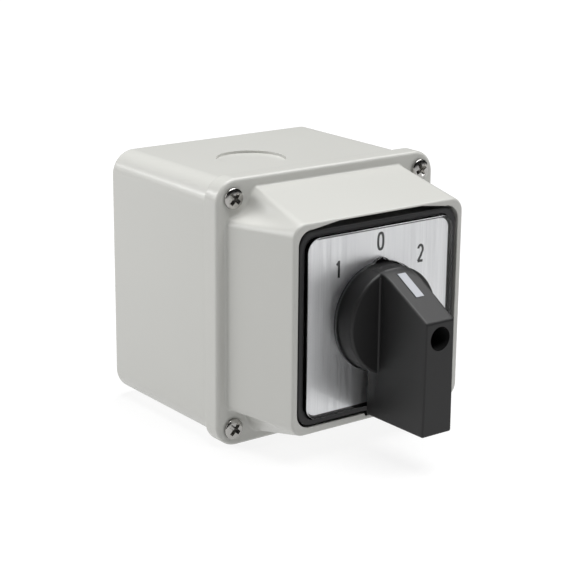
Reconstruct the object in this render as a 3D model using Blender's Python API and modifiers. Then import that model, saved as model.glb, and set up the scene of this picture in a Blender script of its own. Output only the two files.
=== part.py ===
"""Enclosed manual transfer switch, positions 1-0-2: a rotary cam switch in a two-part plastic box.

Frame: +X right as seen from the front, +Z up, the front faces -Y. The wall plane is y = 0 and the
handle turns about the Y axis. A "depth" below is a distance from the wall towards the front, so
y = -depth. Lengths are metres.
"""

import math

import bmesh
import bpy
from mathutils import Matrix, Vector

MM = 0.001
GAP = 0.3 * MM                # clearance between pieces that touch in the real switch
RUN = 5.0 * MM                # how far a cutter runs past an open face
WELD = 1e-6

# Box: base tub, cover with its hood, gasket between them
BASE_HALF_X = 44.1 * MM
BASE_HALF_Z = 43.4 * MM
BASE_CORNER = 8.3 * MM
BASE_DEPTH = 57.9 * MM
BASE_BACK_ROUNDING = 1.2 * MM
TONGUE_HALF = 42.6 * MM
TONGUE_CORNER = 5.6 * MM
TONGUE_TOP = BASE_DEPTH + 2.7 * MM
WALL = 3.0 * MM
TUB_HALF_X = BASE_HALF_X - WALL
TUB_HALF_Z = BASE_HALF_Z - WALL
TUB_CORNER = BASE_CORNER - WALL

COVER_HALF = 45.0 * MM
COVER_CORNER = 8.0 * MM
COVER_EDGE_ROUNDING = 1.0 * MM
SKIRT_BACK = BASE_DEPTH + GAP
FLANGE_FRONT = 65.4 * MM
FLANGE_BACK = FLANGE_FRONT - WALL
SKIRT_WALL = 2.1 * MM
SKIRT_INNER_HALF = COVER_HALF - SKIRT_WALL
SKIRT_INNER_CORNER = COVER_CORNER - SKIRT_WALL

HOOD_FRONT = 92.4 * MM
HOOD_FOOT_HALF_X = 41.5 * MM
HOOD_FOOT_HALF_Z = 41.4 * MM
HOOD_CUT_X = 11.7 * MM        # the foot's corners are cut off straight: the cut's two legs
HOOD_CUT_Z = 10.2 * MM
HOOD_FOOT_CORNER = 2.0 * MM
HOOD_RIM_HALF = 34.9 * MM
HOOD_RIM_CORNER = 5.0 * MM
HOOD_RIM_ROUNDING = 0.6 * MM
HOOD_WALL = 2.5 * MM
HOOD_INNER_FOOT_CORNER = 0.5 * MM
HOOD_INNER_RIM_CORNER = 4.0 * MM
PANEL_FRONT = HOOD_FRONT - 7.0 * MM
PANEL_BACK = PANEL_FRONT - 2.5 * MM

RECESS_HALF_X = 32.75 * MM
RECESS_BOTTOM = -32.4 * MM
RECESS_TOP = 32.6 * MM
RECESS_CORNER = 5.0 * MM
RECESS_CROWN = 34.0 * MM      # the top edge is relieved to this height over its middle
RECESS_CROWN_HALF = 17.0 * MM
RECESS_CROWN_FOOT_HALF = 29.4 * MM
RECESS_NOTCH_HALF = 5.0 * MM  # pry notch at the bottom
RECESS_NOTCH_BOTTOM = -33.4 * MM

KNOCKOUT_RADIUS = 11.8 * MM
KNOCKOUT_X = -10.8 * MM
KNOCKOUT_DEPTH = 36.2 * MM
KNOCKOUT_RECESS = 0.8 * MM
WALL_HOLE_RADIUS = 2.25 * MM  # blind from inside, broken out when the box goes on a wall
WALL_HOLE_SKIN = 0.8 * MM
WALL_HOLE_PITCH_HALF = 30.0 * MM

GASKET_HALF = 42.5 * MM
GASKET_CORNER = 5.5 * MM
GASKET_WIDTH = 2.3 * MM
GASKET_NOTCH_RADIUS = 2.1 * MM

COVER_SCREW_PITCH_HALF = 38.75 * MM
COVER_SCREW_HEAD_RADIUS = 3.45 * MM
COVER_SCREW_RADIUS = 1.6 * MM
COVER_SCREW_TIP = 48.0 * MM
BOSS_RADIUS = 4.6 * MM
BOSS_HOLE_BOTTOM = 44.0 * MM

PAN_HEAD = 1.3 * MM           # head height of the cover's and the panel's screws
PAN_DOME = ((0.0, 1.0), (0.55, 0.96), (0.82, 0.8), (1.0, 0.4))  # shares of head radius and height
CROSS_ARM = 0.16              # the cross recess: half width and reach as shares of the head's radius,
CROSS_REACH = 0.62            # and its floor as a share of the head's height
CROSS_FLOOR = 0.35

# Front plate: bezel, legend plate, clear window
BEZEL_HALF = 32.0 * MM
BEZEL_CORNER = 5.0 * MM
BEZEL_FRONT = 92.0 * MM
BEZEL_BACK = PANEL_FRONT + GAP
BEZEL_ROUNDING = 0.5 * MM
POCKET_HALF = 30.2 * MM
POCKET_CORNER = 4.9 * MM
POCKET_FLOOR = BEZEL_FRONT - 1.7 * MM
LEGEND_HALF = 28.9 * MM
LEGEND_CORNER = 3.7 * MM
LEGEND_BACK = POCKET_FLOOR + GAP
LEGEND_FRONT = LEGEND_BACK + 0.8 * MM
WINDOW_HALF = 29.85 * MM
WINDOW_CORNER = 4.6 * MM
WINDOW_BACK = LEGEND_FRONT + GAP
WINDOW_FRONT = 93.4 * MM
WINDOW_ROUNDING = 0.4 * MM
DIAL_HOLE_RADIUS = 18.3 * MM
DIAL_NOTCH_RADIUS = 3.4 * MM
DIAL_NOTCH_Z = 16.2 * MM

PANEL_SCREW_PITCH_HALF = 24.0 * MM
PANEL_SCREW_HEAD_RADIUS = 3.0 * MM
PANEL_SCREW_RADIUS = 1.5 * MM
COUNTERBORE_FLOOR = 87.0 * MM
HUB_HOLE_RADIUS = 9.2 * MM

# Switch body, front to back
SMALL_HOLE_RADIUS = 1.8 * MM
SHAFT_HOLE_RADIUS = 4.6 * MM
MOUNTING_PLATE_HALF = 29.0 * MM
MOUNTING_PLATE_FRONT = PANEL_BACK - GAP
MOUNTING_PLATE_THICKNESS = 3.0 * MM
MOUNTING_PLATE_BACK = MOUNTING_PLATE_FRONT - MOUNTING_PLATE_THICKNESS
BODY_HALF = 23.0 * MM
BODY_CORNER = 3.0 * MM
INNER_CORNER = 1.0 * MM       # corners of the contact blocks and of the detent's pocket
DETENT_FRONT = MOUNTING_PLATE_BACK - GAP
DETENT_BACK = DETENT_FRONT - 10.0 * MM
FLOOR = 2.0 * MM
DETENT_POCKET_HALF_X = 15.0 * MM
DETENT_POCKET_HALF_Z = 14.6 * MM
DETENT_PLAY = 0.7 * MM        # free space in front of the detent wheel and behind it
BLOCK_LENGTH = 15.0 * MM
BLOCK_COUNT = 2
BLOCK_PITCH = BLOCK_LENGTH + GAP
FIRST_BLOCK_BACK = DETENT_BACK - GAP - BLOCK_LENGTH
END_PLATE_FRONT = FIRST_BLOCK_BACK - (BLOCK_COUNT - 1) * BLOCK_PITCH - GAP
END_PLATE_THICKNESS = 4.0 * MM
END_PLATE_BACK = END_PLATE_FRONT - END_PLATE_THICKNESS
BEARING_FLOOR = END_PLATE_BACK + 1.0 * MM  # the shaft's rear bearing is blind
TIE_BOLT_X = 19.5 * MM
TIE_BOLT_RADIUS = 1.5 * MM
TIE_BOLT_HEAD_RADIUS = 2.9 * MM
TIE_BOLT_HEAD = 2.1 * MM
TIE_BOLT_SINK = 0.6 * MM
TIE_BOLT_END = MOUNTING_PLATE_FRONT - TIE_BOLT_SINK

# Contact block: a vertical column for the plungers and a bar for the bolts and terminals
COLUMN_HALF_X = 13.7 * MM
COLUMN_HALF_Z = 24.0 * MM
CHAMBER_HALF_X = 11.3 * MM
CHAMBER_HALF_Z = 21.5 * MM
BAR_HALF_Z = 10.6 * MM
CAM_CHAMBER_RADIUS = 12.7 * MM
CONTACT_LINE = 8.5 * MM       # the plungers' and cam's middle, from a block's back face
STRIP_INNER_END = 3.0 * MM
STRIP_OUTER_END = 22.0 * MM
STRIP_HALF_WIDTH = 3.0 * MM
STRIP_LOW = 11.3 * MM
STRIP_HIGH = 12.3 * MM
PAD_X = 6.0 * MM
PAD_RADIUS = 1.5 * MM
PAD_TOP = 12.9 * MM
TERMINAL_X = 18.5 * MM
TERMINAL_HEAD_RADIUS = 2.6 * MM
TERMINAL_HEAD = 1.8 * MM
TERMINAL_RADIUS = 1.4 * MM
TERMINAL_TIP = 4.3 * MM
TERMINAL_HOLE_RADIUS = TERMINAL_RADIUS + GAP

# Rotor: handle, shaft, detent wheel and one cam for each block
SHAFT_HALF = 3.0 * MM
SOCKET_HALF = SHAFT_HALF + GAP
SHAFT_BACK = BEARING_FLOOR + GAP
SHAFT_FRONT = 96.5 * MM
SHAFT_THREAD_DEPTH = 8.5 * MM
HANDLE_SCREW_RADIUS = 1.5 * MM
HANDLE_SCREW_TIP = 89.0 * MM
HANDLE_SCREW_HEAD_RADIUS = 3.1 * MM
HANDLE_SCREW_HEAD = 2.0 * MM

HUB_RADIUS = 8.0 * MM
HUB_BACK = 84.5 * MM
SKIRT_REAR = POCKET_FLOOR + 0.7 * MM
SKIRT_RADIUS_REAR = 17.8 * MM
SKIRT_RADIUS_FRONT = 17.75 * MM
SKIRT_FRONT = HOOD_FRONT + 7.8 * MM
SKIRT_ROUNDING = 0.5 * MM
SKIRT_SHOULDER = 0.3          # where the rounding's middle point lies, as a share of its size
GRIP_REAR = SKIRT_FRONT - GAP
GRIP_FRONT = HOOD_FRONT + 29.6 * MM
GRIP_HALF_REAR = 6.45 * MM     # at its bottom
GRIP_HALF_FRONT = 6.05 * MM
GRIP_TOP_NARROWING = 0.35 * MM
GRIP_BOTTOM = -31.8 * MM
GRIP_TOP_FRONT = 5.55 * MM
GRIP_TOP_REAR = 18.07 * MM
GRIP_ROUNDING = 0.6 * MM
ACCESS_RADIUS = 3.6 * MM
WEB_FRONT = 103.0 * MM
WEB_BACK = 97.0 * MM
INDICATOR_WIDTH = 3.2 * MM
INDICATOR_LENGTH = 10.8 * MM
INDICATOR_THICKNESS = 1.0 * MM
INDICATOR_START = 0.126       # where its ends lie along the ramp, from rear (0) to front (1)
INDICATOR_MARGIN = 0.15 * MM

CAM_RADIUS = 9.0 * MM         # at the plungers' line, handle at 0
CAM_RATE = 2.037 * MM         # fall of the cam's radius per radian
CAM_HALF_THICKNESS = 2.5 * MM
CAM_STEPS = 24                # outline points over half a turn
STAR_RADIUS = 9.3 * MM
STAR_WAVE = 0.7 * MM
STAR_POINTS = 8               # a notch every 45 degrees
STAR_STEPS = 6                # outline points for each notch
STAR_THICKNESS = 3.2 * MM
STAR_FRONT = DETENT_FRONT - DETENT_PLAY
STAR_BACK = STAR_FRONT - STAR_THICKNESS
STOP_DISC_RADIUS = 7.0 * MM
STOP_TAB_HALF = 2.0 * MM
STOP_TAB_END = 13.5 * MM
STOP_POST_RADIUS = 1.6 * MM
STOP_POST_AT = 11.5 * MM
STOP_ANGLE = math.radians(45.0)

# Plungers and bridges, in a frame on the handle axis with +Z outwards
NOSE_TIP = 9.4 * MM
NOSE_HALF = 1.1 * MM
STEM_HALF = 2.3 * MM
STEM_FOOT = 10.6 * MM
SHOULDER = 14.8 * MM
POST_RADIUS = 1.2 * MM
POST_TOP = 18.2 * MM
BRIDGE_HALF_X = 8.5 * MM
BRIDGE_HALF_Y = 2.5 * MM
BRIDGE_PAD_BOTTOM = 14.8 * MM
BRIDGE_LOW = SHOULDER + GAP
BRIDGE_HIGH = BRIDGE_LOW + 1.0 * MM
SPRING_WIRE_RADIUS = 0.35 * MM
SPRING_RADIUS = 2.4 * MM
SPRING_TURNS = 4
SPRING_STEPS = 6              # points on each turn

LEAF_HALF_SPAN = 14.2 * MM
LEAF_THICKNESS = 0.5 * MM
LEAF_HALF_WIDTH = 1.3 * MM
LEAF_LOW = 10.6 * MM
LEAF_RISE = 3.4 * MM
LEAF_BUMP = 1.4 * MM
LEAF_BUMP_HALF = 2.5 * MM
LEAF_STEPS = 24

FINE_SIDES = 48
MEDIUM_SIDES = 16
SMALL_SIDES = 10

MATERIALS = {                 # base colour (linear), roughness, metallic
    "enclosure_grey": ((0.60, 0.60, 0.56), 0.45, 0.0),
    "gasket_rubber": ((0.03, 0.03, 0.03), 0.80, 0.0),
    "black_plastic": ((0.012, 0.012, 0.013), 0.38, 0.0),
    "brushed_aluminium": ((0.66, 0.67, 0.68), 0.35, 1.0),
    "clear_plastic": ((0.90, 0.92, 0.92), 0.05, 0.0),
    "chrome": ((0.75, 0.75, 0.75), 0.15, 1.0),
    "zinc_steel": ((0.50, 0.50, 0.49), 0.35, 1.0),
    "spring_steel": ((0.35, 0.35, 0.36), 0.30, 1.0),
    "brass": ((0.70, 0.52, 0.22), 0.30, 1.0),
    "body_plastic": ((0.05, 0.05, 0.055), 0.50, 0.0),
    "cam_plastic": ((0.75, 0.72, 0.62), 0.45, 0.0),
    "indicator_white": ((0.55, 0.58, 0.62), 0.35, 0.0),
}


# ---------------------------------------------------------------- scene and helpers

def clear_scene():
    for old in list(bpy.data.objects):
        bpy.data.objects.remove(old, do_unlink=True)


def new_collection(name):
    collection = bpy.data.collections.new(name)
    bpy.context.scene.collection.children.link(collection)
    return collection


def new_material(name, colour, roughness, metallic):
    material = bpy.data.materials.new(name)
    material.use_nodes = True
    shader = material.node_tree.nodes["Principled BSDF"]
    shader.inputs["Base Color"].default_value = (*colour, 1.0)
    shader.inputs["Roughness"].default_value = roughness
    shader.inputs["Metallic"].default_value = metallic
    material.diffuse_color = (*colour, 1.0)
    return material


def add_piece(name, data, material, location=(0.0, 0.0, 0.0), rotation=(0.0, 0.0, 0.0), parent=None):
    """One node of the model; data is a mesh or a curve."""
    piece = bpy.data.objects.new(name, data)
    if not data.materials:
        data.materials.append(materials[material])
    piece.location = location
    piece.rotation_euler = rotation
    piece.parent = parent
    parts.objects.link(piece)
    return piece


def add_axis(name, location):
    """Empty on a joint's axis, parent of the pieces that move on it."""
    empty = bpy.data.objects.new(name, None)
    empty.empty_display_size = 10.0 * MM
    empty.location = location
    parts.objects.link(empty)
    return empty


def add_tool(piece, mesh, operation):
    """Hidden object that a Boolean modifier of the piece cuts or joins with."""
    tool = bpy.data.objects.new(f"{piece.name}_tool_{len(piece.modifiers) + 1}", mesh)
    tool.hide_render = True
    tool.display_type = "WIRE"
    cutters.objects.link(tool)
    modifier = piece.modifiers.new(operation.title(), "BOOLEAN")
    modifier.operation = operation
    modifier.object = tool
    return tool


def cut(piece, mesh):
    return add_tool(piece, mesh, "DIFFERENCE")


def join(piece, mesh):
    return add_tool(piece, mesh, "UNION")


def bake(piece):
    """Mesh of the piece with its modifiers applied, for several pieces to share."""
    graph = bpy.context.evaluated_depsgraph_get()
    mesh = bpy.data.meshes.new_from_object(piece.evaluated_get(graph))
    mesh.name = piece.name
    for modifier in piece.modifiers:
        if modifier.type == "BOOLEAN":
            bpy.data.objects.remove(modifier.object)
    bpy.data.objects.remove(piece)
    return mesh


def to_mesh(bm, name):
    bmesh.ops.recalc_face_normals(bm, faces=bm.faces)
    mesh = bpy.data.meshes.new(name)
    bm.to_mesh(mesh)
    bm.free()
    mesh.shade_smooth()
    mesh.set_sharp_from_angle(angle=math.radians(32.0))
    return mesh


# ---------------------------------------------------------------- shapes along the depth

def box(half_x, half_z, back, front, x=0.0, z=0.0):
    bm = bmesh.new()
    place = Matrix.Translation((x, -(back + front) / 2, z))
    size = Matrix.Diagonal((2 * half_x, front - back, 2 * half_z, 1.0))
    bmesh.ops.create_cube(bm, size=1.0, matrix=place @ size)
    return bm


def rounded(half_x, half_z, corner, back, front, x=0.0, z=0.0, steps=6):
    """Box whose four edges along the depth are rounded."""
    bm = box(half_x, half_z, back, front, x, z)
    edges = [e for e in bm.edges if abs(e.verts[0].co.y - e.verts[1].co.y) > WELD]
    bmesh.ops.bevel(bm, geom=edges, offset=corner, segments=steps, profile=0.5, affect="EDGES")
    return bm


def soften(bm, depth, radius, steps=2):
    """Rounds the edges that lie wholly at one depth."""
    edges = [e for e in bm.edges if all(abs(v.co.y + depth) < WELD for v in e.verts)]
    bmesh.ops.bevel(bm, geom=edges, offset=radius, segments=steps, profile=0.5, affect="EDGES")
    return bm


def rods(places, radius, back, front, sides=SMALL_SIDES):
    """Round rods along the depth, one at each (x, z)."""
    bm = bmesh.new()
    turn = Matrix.Rotation(math.pi / 2, 4, "X")
    for x, z in places:
        place = Matrix.Translation((x, -(back + front) / 2, z))
        bmesh.ops.create_cone(bm, cap_ends=True, segments=sides, radius1=radius, radius2=radius,
                              depth=front - back, matrix=place @ turn)
    return to_mesh(bm, "rods")


def posts(places, radius, low, high, sides=SMALL_SIDES):
    """Upright round rods, one at each (x, y)."""
    bm = bmesh.new()
    for x, y in places:
        place = Matrix.Translation((x, y, (low + high) / 2))
        bmesh.ops.create_cone(bm, cap_ends=True, segments=sides, radius1=radius, radius2=radius,
                              depth=high - low, matrix=place)
    return to_mesh(bm, "posts")


def bar(low, high):
    """Box between two opposite corners."""
    bm = bmesh.new()
    low, high = Vector(low), Vector(high)
    size = high - low
    place = Matrix.Translation((low + high) / 2)
    bmesh.ops.create_cube(bm, size=1.0, matrix=place @ Matrix.Diagonal((*size, 1.0)))
    return to_mesh(bm, "bar")


def flat_outline(outlines, back, front):
    """Mesh of a plate whose outline, and any hole, are closed lists of (x, z)."""
    curve = bpy.data.curves.new("outline", "CURVE")
    curve.dimensions = "2D"
    curve.fill_mode = "BOTH"
    curve.extrude = (front - back) / 2
    for points in outlines:
        spline = curve.splines.new("POLY")
        spline.points.add(len(points) - 1)
        spline.use_cyclic_u = True
        for point, (x, z) in zip(spline.points, points):
            point.co = (x, z, 0.0, 1.0)
    drawn = bpy.data.objects.new("outline", curve)
    middle = Matrix.Translation((0.0, -(back + front) / 2, 0.0))
    drawn.matrix_world = middle @ Matrix.Rotation(math.pi / 2, 4, "X")
    cutters.objects.link(drawn)
    bpy.context.view_layer.update()
    graph = bpy.context.evaluated_depsgraph_get()
    flat = bpy.data.meshes.new_from_object(drawn.evaluated_get(graph))
    flat.transform(drawn.matrix_world)
    bpy.data.objects.remove(drawn)
    bm = bmesh.new()
    bm.from_mesh(flat)
    bmesh.ops.remove_doubles(bm, verts=bm.verts, dist=WELD)
    return to_mesh(bm, "plate")


def square(half):
    return [(half, half), (-half, half), (-half, -half), (half, -half)]


def turned(name, profile, material, sides=MEDIUM_SIDES, x=0.0, z=0.0):
    """Piece turned about the depth direction from (radius, depth) points, front to back."""
    mesh = bpy.data.meshes.new(name)
    edges = [(i, i + 1) for i in range(len(profile) - 1)]
    mesh.from_pydata([(radius, 0.0, depth) for radius, depth in profile], edges, [])
    piece = add_piece(name, mesh, material, (x, 0.0, z), (math.pi / 2, 0.0, 0.0))
    screw = piece.modifiers.new("Turn", "SCREW")
    screw.steps = sides
    screw.render_steps = sides
    screw.use_merge_vertices = True
    screw.merge_threshold = 1e-5
    return piece


def corners(pitch_x, pitch_z):
    return [(sx * pitch_x, sz * pitch_z) for sz in (1, -1) for sx in (-1, 1)]


# ---------------------------------------------------------------- the hood's lofted shape

def hood_ring(centres, split, radius, depth, steps=4):
    """Ring of points at one depth. Each corner is two arcs about two centres, which meet at the
    split angle: apart they leave a straight cut corner between them, together one round corner."""
    quadrant = []
    for (cx, cz), start, stop in ((centres[0], 0.0, split), (centres[1], split, math.pi / 2)):
        for step in range(steps + 1):
            angle = start + (stop - start) * step / steps
            quadrant.append((cx + radius * math.cos(angle), cz + radius * math.sin(angle)))
    ring = quadrant + [(-x, z) for x, z in reversed(quadrant)]
    ring += [(-x, -z) for x, z in ring[:len(quadrant)]] + [(x, -z) for x, z in reversed(quadrant)]
    return [Vector((x, -depth, z)) for x, z in ring]


def cut_corner_centres(inset, radius):
    """Arc centres of the hood foot's cut corner, with the outline moved inwards by inset."""
    normal = Vector((HOOD_CUT_Z, HOOD_CUT_X)).normalized()
    offset = normal.dot((HOOD_FOOT_HALF_X, HOOD_FOOT_HALF_Z - HOOD_CUT_Z)) - inset - radius
    x = HOOD_FOOT_HALF_X - inset - radius
    z = HOOD_FOOT_HALF_Z - inset - radius
    split = math.atan2(normal.y, normal.x)
    return ((x, (offset - normal.x * x) / normal.y), ((offset - normal.y * z) / normal.x, z)), split


def loft(rings):
    """Closed solid through rings of equally many points."""
    bm = bmesh.new()
    grid = [[bm.verts.new(point) for point in ring] for ring in rings]
    count = len(grid[0])
    for near, far in zip(grid, grid[1:]):
        for i in range(count):
            j = (i + 1) % count
            bm.faces.new((near[i], near[j], far[j], far[i]))
    bm.faces.new(reversed(grid[0]))
    bm.faces.new(grid[-1])
    bmesh.ops.remove_doubles(bm, verts=bm.verts, dist=WELD)
    bmesh.ops.dissolve_degenerate(bm, edges=bm.edges, dist=WELD)
    return to_mesh(bm, "loft")


def hood_outside():
    centres, split = cut_corner_centres(0.0, HOOD_FOOT_CORNER)
    middle = HOOD_RIM_HALF - HOOD_RIM_CORNER
    rim = ((middle, middle), (middle, middle))
    shoulder = HOOD_FRONT - HOOD_RIM_ROUNDING
    rings = [hood_ring(centres, split, HOOD_FOOT_CORNER, FLANGE_FRONT - WALL / 2),
             hood_ring(centres, split, HOOD_FOOT_CORNER, FLANGE_FRONT)]
    for quarter in range(4):
        angle = quarter * math.pi / 6
        radius = HOOD_RIM_CORNER - HOOD_RIM_ROUNDING * (1.0 - math.cos(angle))
        rings.append(hood_ring(rim, split, radius, shoulder + HOOD_RIM_ROUNDING * math.sin(angle)))
    return loft(rings)


def hood_inside():
    foot_corner = HOOD_INNER_FOOT_CORNER
    centres, split = cut_corner_centres(HOOD_WALL, foot_corner)
    share = (PANEL_BACK - FLANGE_FRONT) / (HOOD_FRONT - FLANGE_FRONT)
    half = HOOD_FOOT_HALF_X + (HOOD_RIM_HALF - HOOD_FOOT_HALF_X) * share - HOOD_WALL
    middle = half - HOOD_INNER_RIM_CORNER
    rim = ((middle, middle), (middle, middle))
    return loft([hood_ring(centres, split, foot_corner, SKIRT_BACK),
                 hood_ring(centres, split, foot_corner, FLANGE_FRONT),
                 hood_ring(rim, split, HOOD_INNER_RIM_CORNER, PANEL_BACK)])


# ---------------------------------------------------------------- the box

def build_base():
    shell = rounded(BASE_HALF_X, BASE_HALF_Z, BASE_CORNER, 0.0, BASE_DEPTH)
    soften(shell, 0.0, BASE_BACK_ROUNDING)
    base = add_piece("enclosure_base", to_mesh(shell, "enclosure_base"), "enclosure_grey")
    tongue = rounded(TONGUE_HALF, TONGUE_HALF, TONGUE_CORNER, BASE_DEPTH - RUN, TONGUE_TOP)
    join(base, to_mesh(tongue, "tongue"))
    hollow = rounded(TUB_HALF_X, TUB_HALF_Z, TUB_CORNER, WALL, TONGUE_TOP + RUN)
    tub = cut(base, to_mesh(hollow, "tub"))
    places = corners(COVER_SCREW_PITCH_HALF, COVER_SCREW_PITCH_HALF)
    cut(tub, rods(places, BOSS_RADIUS, -RUN, TONGUE_TOP + 2 * RUN, MEDIUM_SIDES))
    cut(base, rods(places, COVER_SCREW_RADIUS + GAP, BOSS_HOLE_BOTTOM, TONGUE_TOP + RUN))
    wall_holes = corners(WALL_HOLE_PITCH_HALF, WALL_HOLE_PITCH_HALF)
    cut(base, rods(wall_holes, WALL_HOLE_RADIUS, WALL_HOLE_SKIN, WALL + RUN))
    spot = [(KNOCKOUT_X, -KNOCKOUT_DEPTH)]
    floor = BASE_HALF_Z - KNOCKOUT_RECESS
    cut(base, posts(spot, KNOCKOUT_RADIUS, floor, floor + RUN, 2 * MEDIUM_SIDES))
    cut(base, posts(spot, KNOCKOUT_RADIUS, -floor - RUN, -floor, 2 * MEDIUM_SIDES))


def build_cover():
    flange = rounded(COVER_HALF, COVER_HALF, COVER_CORNER, SKIRT_BACK, FLANGE_FRONT)
    soften(flange, FLANGE_FRONT, COVER_EDGE_ROUNDING)
    cover = add_piece("enclosure_cover", to_mesh(flange, "enclosure_cover"), "enclosure_grey")
    join(cover, hood_outside())
    opening = rounded(SKIRT_INNER_HALF, SKIRT_INNER_HALF, SKIRT_INNER_CORNER, SKIRT_BACK - RUN, FLANGE_BACK)
    cut(cover, to_mesh(opening, "opening"))
    cut(cover, hood_inside())
    middle = (RECESS_TOP + RECESS_BOTTOM) / 2
    half_z = RECESS_TOP - middle
    front = HOOD_FRONT + RUN
    recess = rounded(RECESS_HALF_X, half_z, RECESS_CORNER, PANEL_FRONT, front, z=middle)
    cut(cover, to_mesh(recess, "recess"))
    foot = RECESS_TOP - GAP
    crown = [(RECESS_CROWN_FOOT_HALF, foot), (RECESS_CROWN_HALF, RECESS_CROWN),
             (-RECESS_CROWN_HALF, RECESS_CROWN), (-RECESS_CROWN_FOOT_HALF, foot)]
    cut(cover, flat_outline([crown], PANEL_FRONT, front))
    half_z = (RECESS_BOTTOM - RECESS_NOTCH_BOTTOM) / 2 + GAP
    notch = box(RECESS_NOTCH_HALF, half_z, PANEL_FRONT, front, z=RECESS_NOTCH_BOTTOM + half_z)
    cut(cover, to_mesh(notch, "notch"))
    cut(cover, rods([(0.0, 0.0)], HUB_HOLE_RADIUS, PANEL_BACK - RUN, PANEL_FRONT + RUN, MEDIUM_SIDES))
    panel_holes = corners(PANEL_SCREW_PITCH_HALF, PANEL_SCREW_PITCH_HALF)
    cut(cover, rods(panel_holes, SMALL_HOLE_RADIUS, PANEL_BACK - RUN, PANEL_FRONT + RUN))
    flange_holes = corners(COVER_SCREW_PITCH_HALF, COVER_SCREW_PITCH_HALF)
    cut(cover, rods(flange_holes, COVER_SCREW_RADIUS + GAP, FLANGE_BACK - RUN, FLANGE_FRONT + RUN))


def build_gasket():
    back = TONGUE_TOP + GAP
    front = FLANGE_BACK - GAP
    ring = rounded(GASKET_HALF, GASKET_HALF, GASKET_CORNER, back, front)
    gasket = add_piece("cover_gasket", to_mesh(ring, "cover_gasket"), "gasket_rubber")
    inner = GASKET_HALF - GASKET_WIDTH
    hole = rounded(inner, inner, GASKET_CORNER - GASKET_WIDTH, back - RUN, front + RUN)
    cut(gasket, to_mesh(hole, "hole"))
    places = corners(COVER_SCREW_PITCH_HALF, COVER_SCREW_PITCH_HALF)
    cut(gasket, rods(places, GASKET_NOTCH_RADIUS, back - RUN, front + RUN))


def pan_screw(name, material, head_radius, head_height, radius, seat, tip):
    """Mesh of a pan-head screw whose head sits at the seat depth."""
    dome = [(share * head_radius, seat + height * head_height) for share, height in PAN_DOME]
    shank = [(head_radius, seat), (radius, seat), (radius, tip + radius), (0.0, tip)]
    screw = turned(name, dome + shank, material, MEDIUM_SIDES)
    arm = CROSS_ARM * head_radius
    reach = CROSS_REACH * head_radius
    floor = seat + CROSS_FLOOR * head_height
    top = seat + head_height + RUN
    cut(screw, to_mesh(box(arm, reach, floor, top), "cross"))
    cut(screw, to_mesh(box(reach, arm, floor + WELD, top), "cross"))
    return bake(screw)


def build_screws():
    sets = (("cover_screw", "chrome", COVER_SCREW_HEAD_RADIUS, COVER_SCREW_RADIUS,
             FLANGE_FRONT + GAP, COVER_SCREW_TIP, COVER_SCREW_PITCH_HALF),
            ("panel_screw", "zinc_steel", PANEL_SCREW_HEAD_RADIUS, PANEL_SCREW_RADIUS,
             COUNTERBORE_FLOOR + GAP, MOUNTING_PLATE_BACK + GAP, PANEL_SCREW_PITCH_HALF))
    for name, material, head_radius, radius, seat, tip, pitch in sets:
        mesh = pan_screw(name, material, head_radius, PAN_HEAD, radius, seat, tip)
        for number, (x, z) in enumerate(corners(pitch, pitch), 1):
            add_piece(f"{name}_{number}", mesh, material, (x, 0.0, z), (math.pi / 2, 0.0, 0.0))


# ---------------------------------------------------------------- front plate

def build_bezel():
    frame = rounded(BEZEL_HALF, BEZEL_HALF, BEZEL_CORNER, BEZEL_BACK, BEZEL_FRONT)
    soften(frame, BEZEL_FRONT, BEZEL_ROUNDING)
    bezel = add_piece("bezel_frame", to_mesh(frame, "bezel_frame"), "black_plastic")
    pocket = rounded(POCKET_HALF, POCKET_HALF, POCKET_CORNER, POCKET_FLOOR, BEZEL_FRONT + RUN)
    cut(bezel, to_mesh(pocket, "pocket"))
    cut(bezel, rods([(0.0, 0.0)], HUB_HOLE_RADIUS, BEZEL_BACK - RUN, POCKET_FLOOR + RUN, MEDIUM_SIDES))
    places = corners(PANEL_SCREW_PITCH_HALF, PANEL_SCREW_PITCH_HALF)
    head_hole = PANEL_SCREW_HEAD_RADIUS + GAP
    cut(bezel, rods(places, head_hole, COUNTERBORE_FLOOR, BEZEL_FRONT + RUN, MEDIUM_SIDES))
    cut(bezel, rods(places, SMALL_HOLE_RADIUS, BEZEL_BACK - RUN, BEZEL_FRONT + RUN))


def cut_dial_hole(piece, back, front):
    cut(piece, rods([(0.0, 0.0)], DIAL_HOLE_RADIUS, back - RUN, front + RUN, FINE_SIDES))
    cut(piece, rods([(0.0, DIAL_NOTCH_Z)], DIAL_NOTCH_RADIUS, back - RUN, front + RUN, MEDIUM_SIDES))


def build_dial():
    plate = rounded(LEGEND_HALF, LEGEND_HALF, LEGEND_CORNER, LEGEND_BACK, LEGEND_FRONT)
    legend = add_piece("legend_plate", to_mesh(plate, "legend_plate"), "brushed_aluminium")
    cut_dial_hole(legend, LEGEND_BACK, LEGEND_FRONT)
    pane = rounded(WINDOW_HALF, WINDOW_HALF, WINDOW_CORNER, WINDOW_BACK, WINDOW_FRONT)
    soften(pane, WINDOW_FRONT, WINDOW_ROUNDING)
    window = add_piece("clear_window", to_mesh(pane, "clear_window"), "clear_plastic")
    cut_dial_hole(window, WINDOW_BACK, WINDOW_FRONT)


# ---------------------------------------------------------------- switch body

TIE_BOLTS = ((-TIE_BOLT_X, 0.0), (TIE_BOLT_X, 0.0))


def cut_body_holes(piece, back, front, shaft_floor=None):
    """Holes for the tie bolts and for the shaft, whose hole may have a floor."""
    start = back - RUN if shaft_floor is None else shaft_floor
    cut(piece, rods([(0.0, 0.0)], SHAFT_HOLE_RADIUS, start, front + RUN, MEDIUM_SIDES))
    cut(piece, rods(TIE_BOLTS, SMALL_HOLE_RADIUS, back - RUN, front + RUN))


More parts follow.
